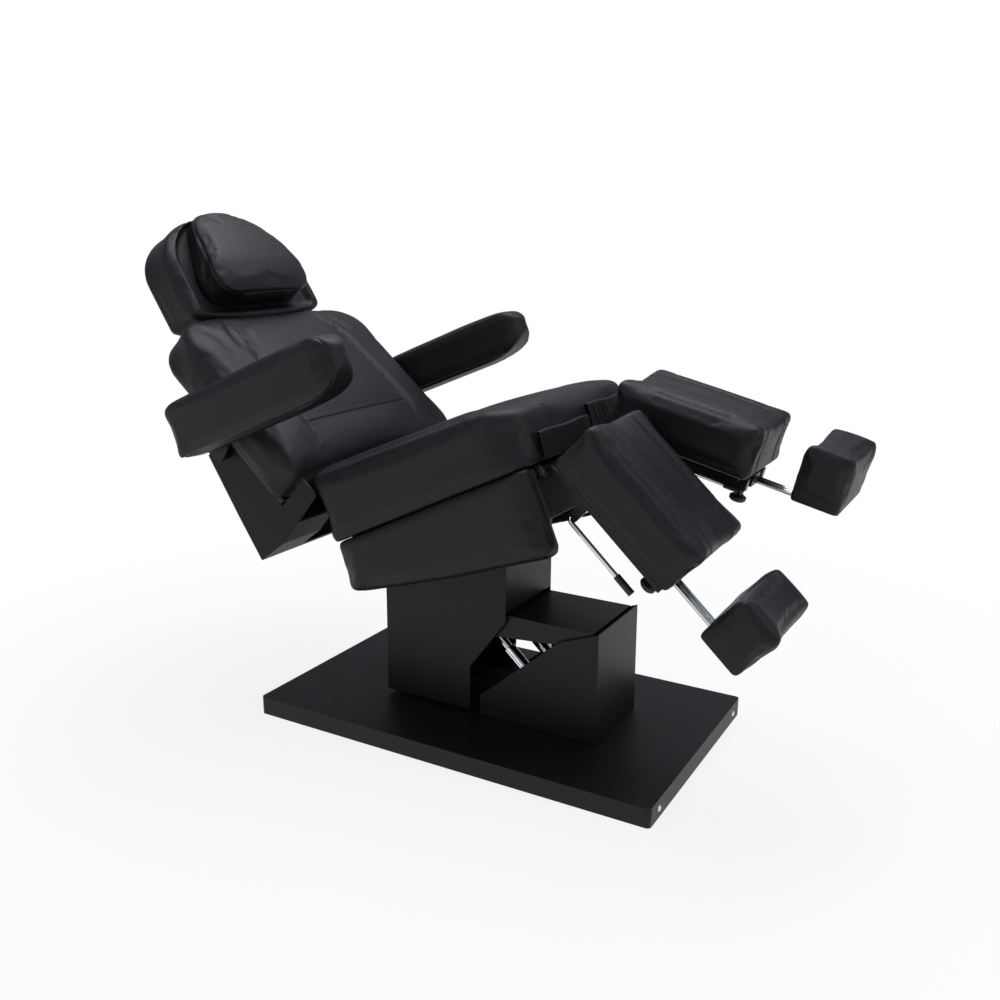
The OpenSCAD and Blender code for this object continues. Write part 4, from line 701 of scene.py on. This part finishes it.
def side_panels():
    for name, sign in SIDES.items():
        def held(p, sign=sign):
            inner = 1 - eased(0.240, 0.256, sign * p[:, 1])
            return np.maximum(inner, eased(-0.010, -0.003, p[:, 2]))
        skin_from_solid(f"seat_side_{name}_sewn", f"seat_side_{name}", "seat", SEAM, held, 20 + sign)


def front_flaps():
    for name, sign, top_w in (("right", -1, 0.149), ("left", 1, 0.172)):
        face = SEAM_REAR + SEAM_RUN * math.cos(math.asin(SEAM_RISE / SEAM_RUN)) - 0.0010
        low, lean = 0.0976, 0.0061
        rows, columns = 26, 60
        outline = []
        for k in range(rows + 1):
            t = k / rows
            outline.append((face + 0.0028 + (lean - 0.0015) * t, low + (top_w - low) * t))
        roll = []
        for k in range(1, 15):
            a = math.pi * 2 * k / 16 * 0.95
            roll.append((outline[-1][0] - 0.0042 + 0.0043 * math.cos(a), top_w + 0.0043 * math.sin(a)))
        line = outline + roll
        points, faces = [], []
        for c in range(columns + 1):
            y = 0.006 + (0.2345 - 0.006) * c / columns
            for k, (u, w) in enumerate(line):
                t = min(1, k / rows)
                wave = 0.0009 * math.sin(y * 95 + 2 * t) * t * (1 - 0.4 * t)
                wave += 0.0006 * math.sin(y * 210 + 5 * t)
                points.append((u + abs(wave), sign * y, w + 0.0012 * math.sin(y * 40) * t))
        count = len(line)
        for c in range(columns):
            for k in range(count - 1):
                a = c * count + k
                faces.append((a, a + 1, a + count + 1, a + count))
        piece = new_piece(f"seat_flap_{name}_sewn", points, faces, LEATHER)
        thick = piece.modifiers.new("thickness", "SOLIDIFY")
        thick.thickness, thick.offset = 0.0018, 0.0
        fine = piece.modifiers.new("fine", "SUBSURF")
        fine.levels = fine.render_levels = 1
        keep_result(piece).shade_smooth()
        piece.data.transform(SEAT)
        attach(piece, "seat")
        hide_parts(f"seat_flap_{name}")


seat_pad()
back_pad()
head_pads()
arm_pads()
leg_pads()
side_panels()
front_flaps()


# ---------------------------------------------------------------- solids' finishes
FINISHES = {
    COVER_PAINT: ["base_cover", "front_housing", "rear_cover"],
    FRAME_PAINT: ["floor_plate", "base_frame", "lift_bracket", "lower_link", "upper_link", "carriage_frame",
                  "seat_frame", "back_frame", "leg_frame_right", "leg_frame_left", "armrest_brackets",
                  "armrest_plate_right", "armrest_plate_left", "headrest_guide", "headrest_plate"],
    LEATHER_FLAT: ["seat_apron", "back_box"],
    CHROME: ["base_cover_screws", "mains_inlet_pins", "lift_pivot_pins", "lift_drive_tubes",
             "lift_drive_rods", "carriage_pins", "tilt_drive_rod", "recline_drive_rod", "leg_hinge_shaft",
             "back_hinge_pins",
             "headrest_bars", "leg_lever_right", "leg_lever_left", "foot_bars_right", "foot_bars_left"],
    PLASTIC: ["control_box", "mains_inlet", "tilt_drive", "recline_drive", "foot_knob_right",
              "foot_knob_left", "lever_grip_right", "lever_grip_left"],
    BOARD: ["seat_board", "back_board"],
}
EDGE = {"base_cover": 0.0025, "front_housing": 0.0016, "rear_cover": 0.0020, "back_box": 0.004,
        "seat_apron": 0.002, "foot_knob_right": 0.0012, "foot_knob_left": 0.0012, "lift_bracket": 0.0008, "upper_link": 0.0010}
for finish, names in FINISHES.items():
    for name in names:
        node = NODES[name]
        node.data.materials.clear()
        node.data.materials.append(finish)
        weld = node.modifiers.new("weld", "WELD")
        weld.merge_threshold = 2e-6
        edge = node.modifiers.new("edges", "BEVEL")
        edge.width = EDGE.get(name, 0.0006)
        edge.segments, edge.limit_method, edge.angle_limit = 2, "ANGLE", math.radians(34)
        edge.use_clamp_overlap = True
        edge.harden_normals = False

# ---------------------------------------------------------------- floor, light, camera
def studio():
    floor = new_piece("floor", [(-14, -14, 0), (14, -14, 0), (14, 14, 0), (-14, 14, 0)], [(0, 1, 2, 3)],
                      bpy.data.materials.new("pale_floor"), smooth=False)
    f = Finish("floor_white")
    f.set(Base_Color=(0.86, 0.86, 0.86, 1), Roughness=0.9)
    path = f.node("LightPath", outlet="Is Camera Ray")
    mirrored = f.node("LightPath", outlet="Is Glossy Ray")
    clear = f.node("LightPath", outlet="Is Transmission Ray")
    away = f.node("VectorMath", {"operation": "LENGTH"}, {0: f.place}, outlet="Value")
    far = ((away - 0.9) * 1.1).held()
    seen = (path + mirrored + clear).held() * (0.84 + 0.16 * far).held()
    glow = f.node("Emission", values={"Color": (1, 1, 1, 1), "Strength": 1.0})
    mix = f.tree.nodes.new("ShaderNodeMixShader")
    f.feed(mix.inputs[0], seen)
    f.tree.links.new(f.shader.outputs[0], mix.inputs[1])
    f.feed(mix.inputs[2], glow)
    f.tree.links.new(mix.outputs[0], f.tree.nodes["Material Output"].inputs["Surface"])
    floor.data.materials[0] = f.material

    scene = bpy.context.scene
    world = bpy.data.worlds.new("studio")
    scene.world = world
    world.use_nodes = True
    tree = world.node_tree
    back = tree.nodes["Background"]
    back.inputs["Color"].default_value = (0.80, 0.84, 0.92, 1)
    back.inputs["Strength"].default_value = 0.35
    white = tree.nodes.new("ShaderNodeBackground")
    white.inputs["Color"].default_value = (1, 1, 1, 1)
    rays = tree.nodes.new("ShaderNodeLightPath")
    both = tree.nodes.new("ShaderNodeMath")
    both.operation = "MAXIMUM"
    tree.links.new(rays.outputs["Is Camera Ray"], both.inputs[0])
    tree.links.new(rays.outputs["Is Transmission Ray"], both.inputs[1])
    mix = tree.nodes.new("ShaderNodeMixShader")
    tree.links.new(both.outputs[0], mix.inputs[0])
    tree.links.new(back.outputs[0], mix.inputs[1])
    tree.links.new(white.outputs[0], mix.inputs[2])
    tree.links.new(mix.outputs[0], tree.nodes["World Output"].inputs["Surface"])

    def lamp(name, at, aim, size, power, colour=(1, 1, 1)):
        data = bpy.data.lights.new(name, "AREA")
        data.shape, data.size, data.energy, data.color = "SQUARE", size, power, colour
        made = bpy.data.objects.new(name, data)
        scene.collection.objects.link(made)
        made.location = at
        made.rotation_euler = (Vector(aim) - Vector(at)).to_track_quat("-Z", "Y").to_euler()

    lamp("top_light", (-0.2, 0.6, 3.4), (0, 0, 0.4), 2.6, 95, (0.94, 0.96, 1.0))
    lamp("foot_light", (3.2, -0.4, 1.9), (0.2, 0, 0.6), 1.6, 22)
    lamp("near_light", (-1.4, -3.4, 2.2), (0, 0, 0.5), 1.8, 16)

    yaw, pitch, roll = -0.514252, -0.255274, 0.007672
    forward = Vector((math.cos(pitch) * math.sin(yaw), math.cos(pitch) * math.cos(yaw), math.sin(pitch)))
    right = forward.cross(Vector((0, 0, 1))).normalized()
    up = right.cross(forward)
    r = right * math.cos(roll) + up * math.sin(roll)
    u = up * math.cos(roll) - right * math.sin(roll)
    data = bpy.data.cameras.new("camera")
    data.sensor_width, data.lens = 36.0, 37.0106
    data.clip_start, data.clip_end = 0.05, 60.0
    camera = bpy.data.objects.new("camera", data)
    scene.collection.objects.link(camera)
    camera.matrix_world = Matrix(((r.x, u.x, -forward.x, 1.11922), (r.y, u.y, -forward.y, -1.99426),
                                  (r.z, u.z, -forward.z, 1.13271), (0, 0, 0, 1)))
    scene.camera = camera
    scene.view_settings.view_transform = "Standard"


studio()
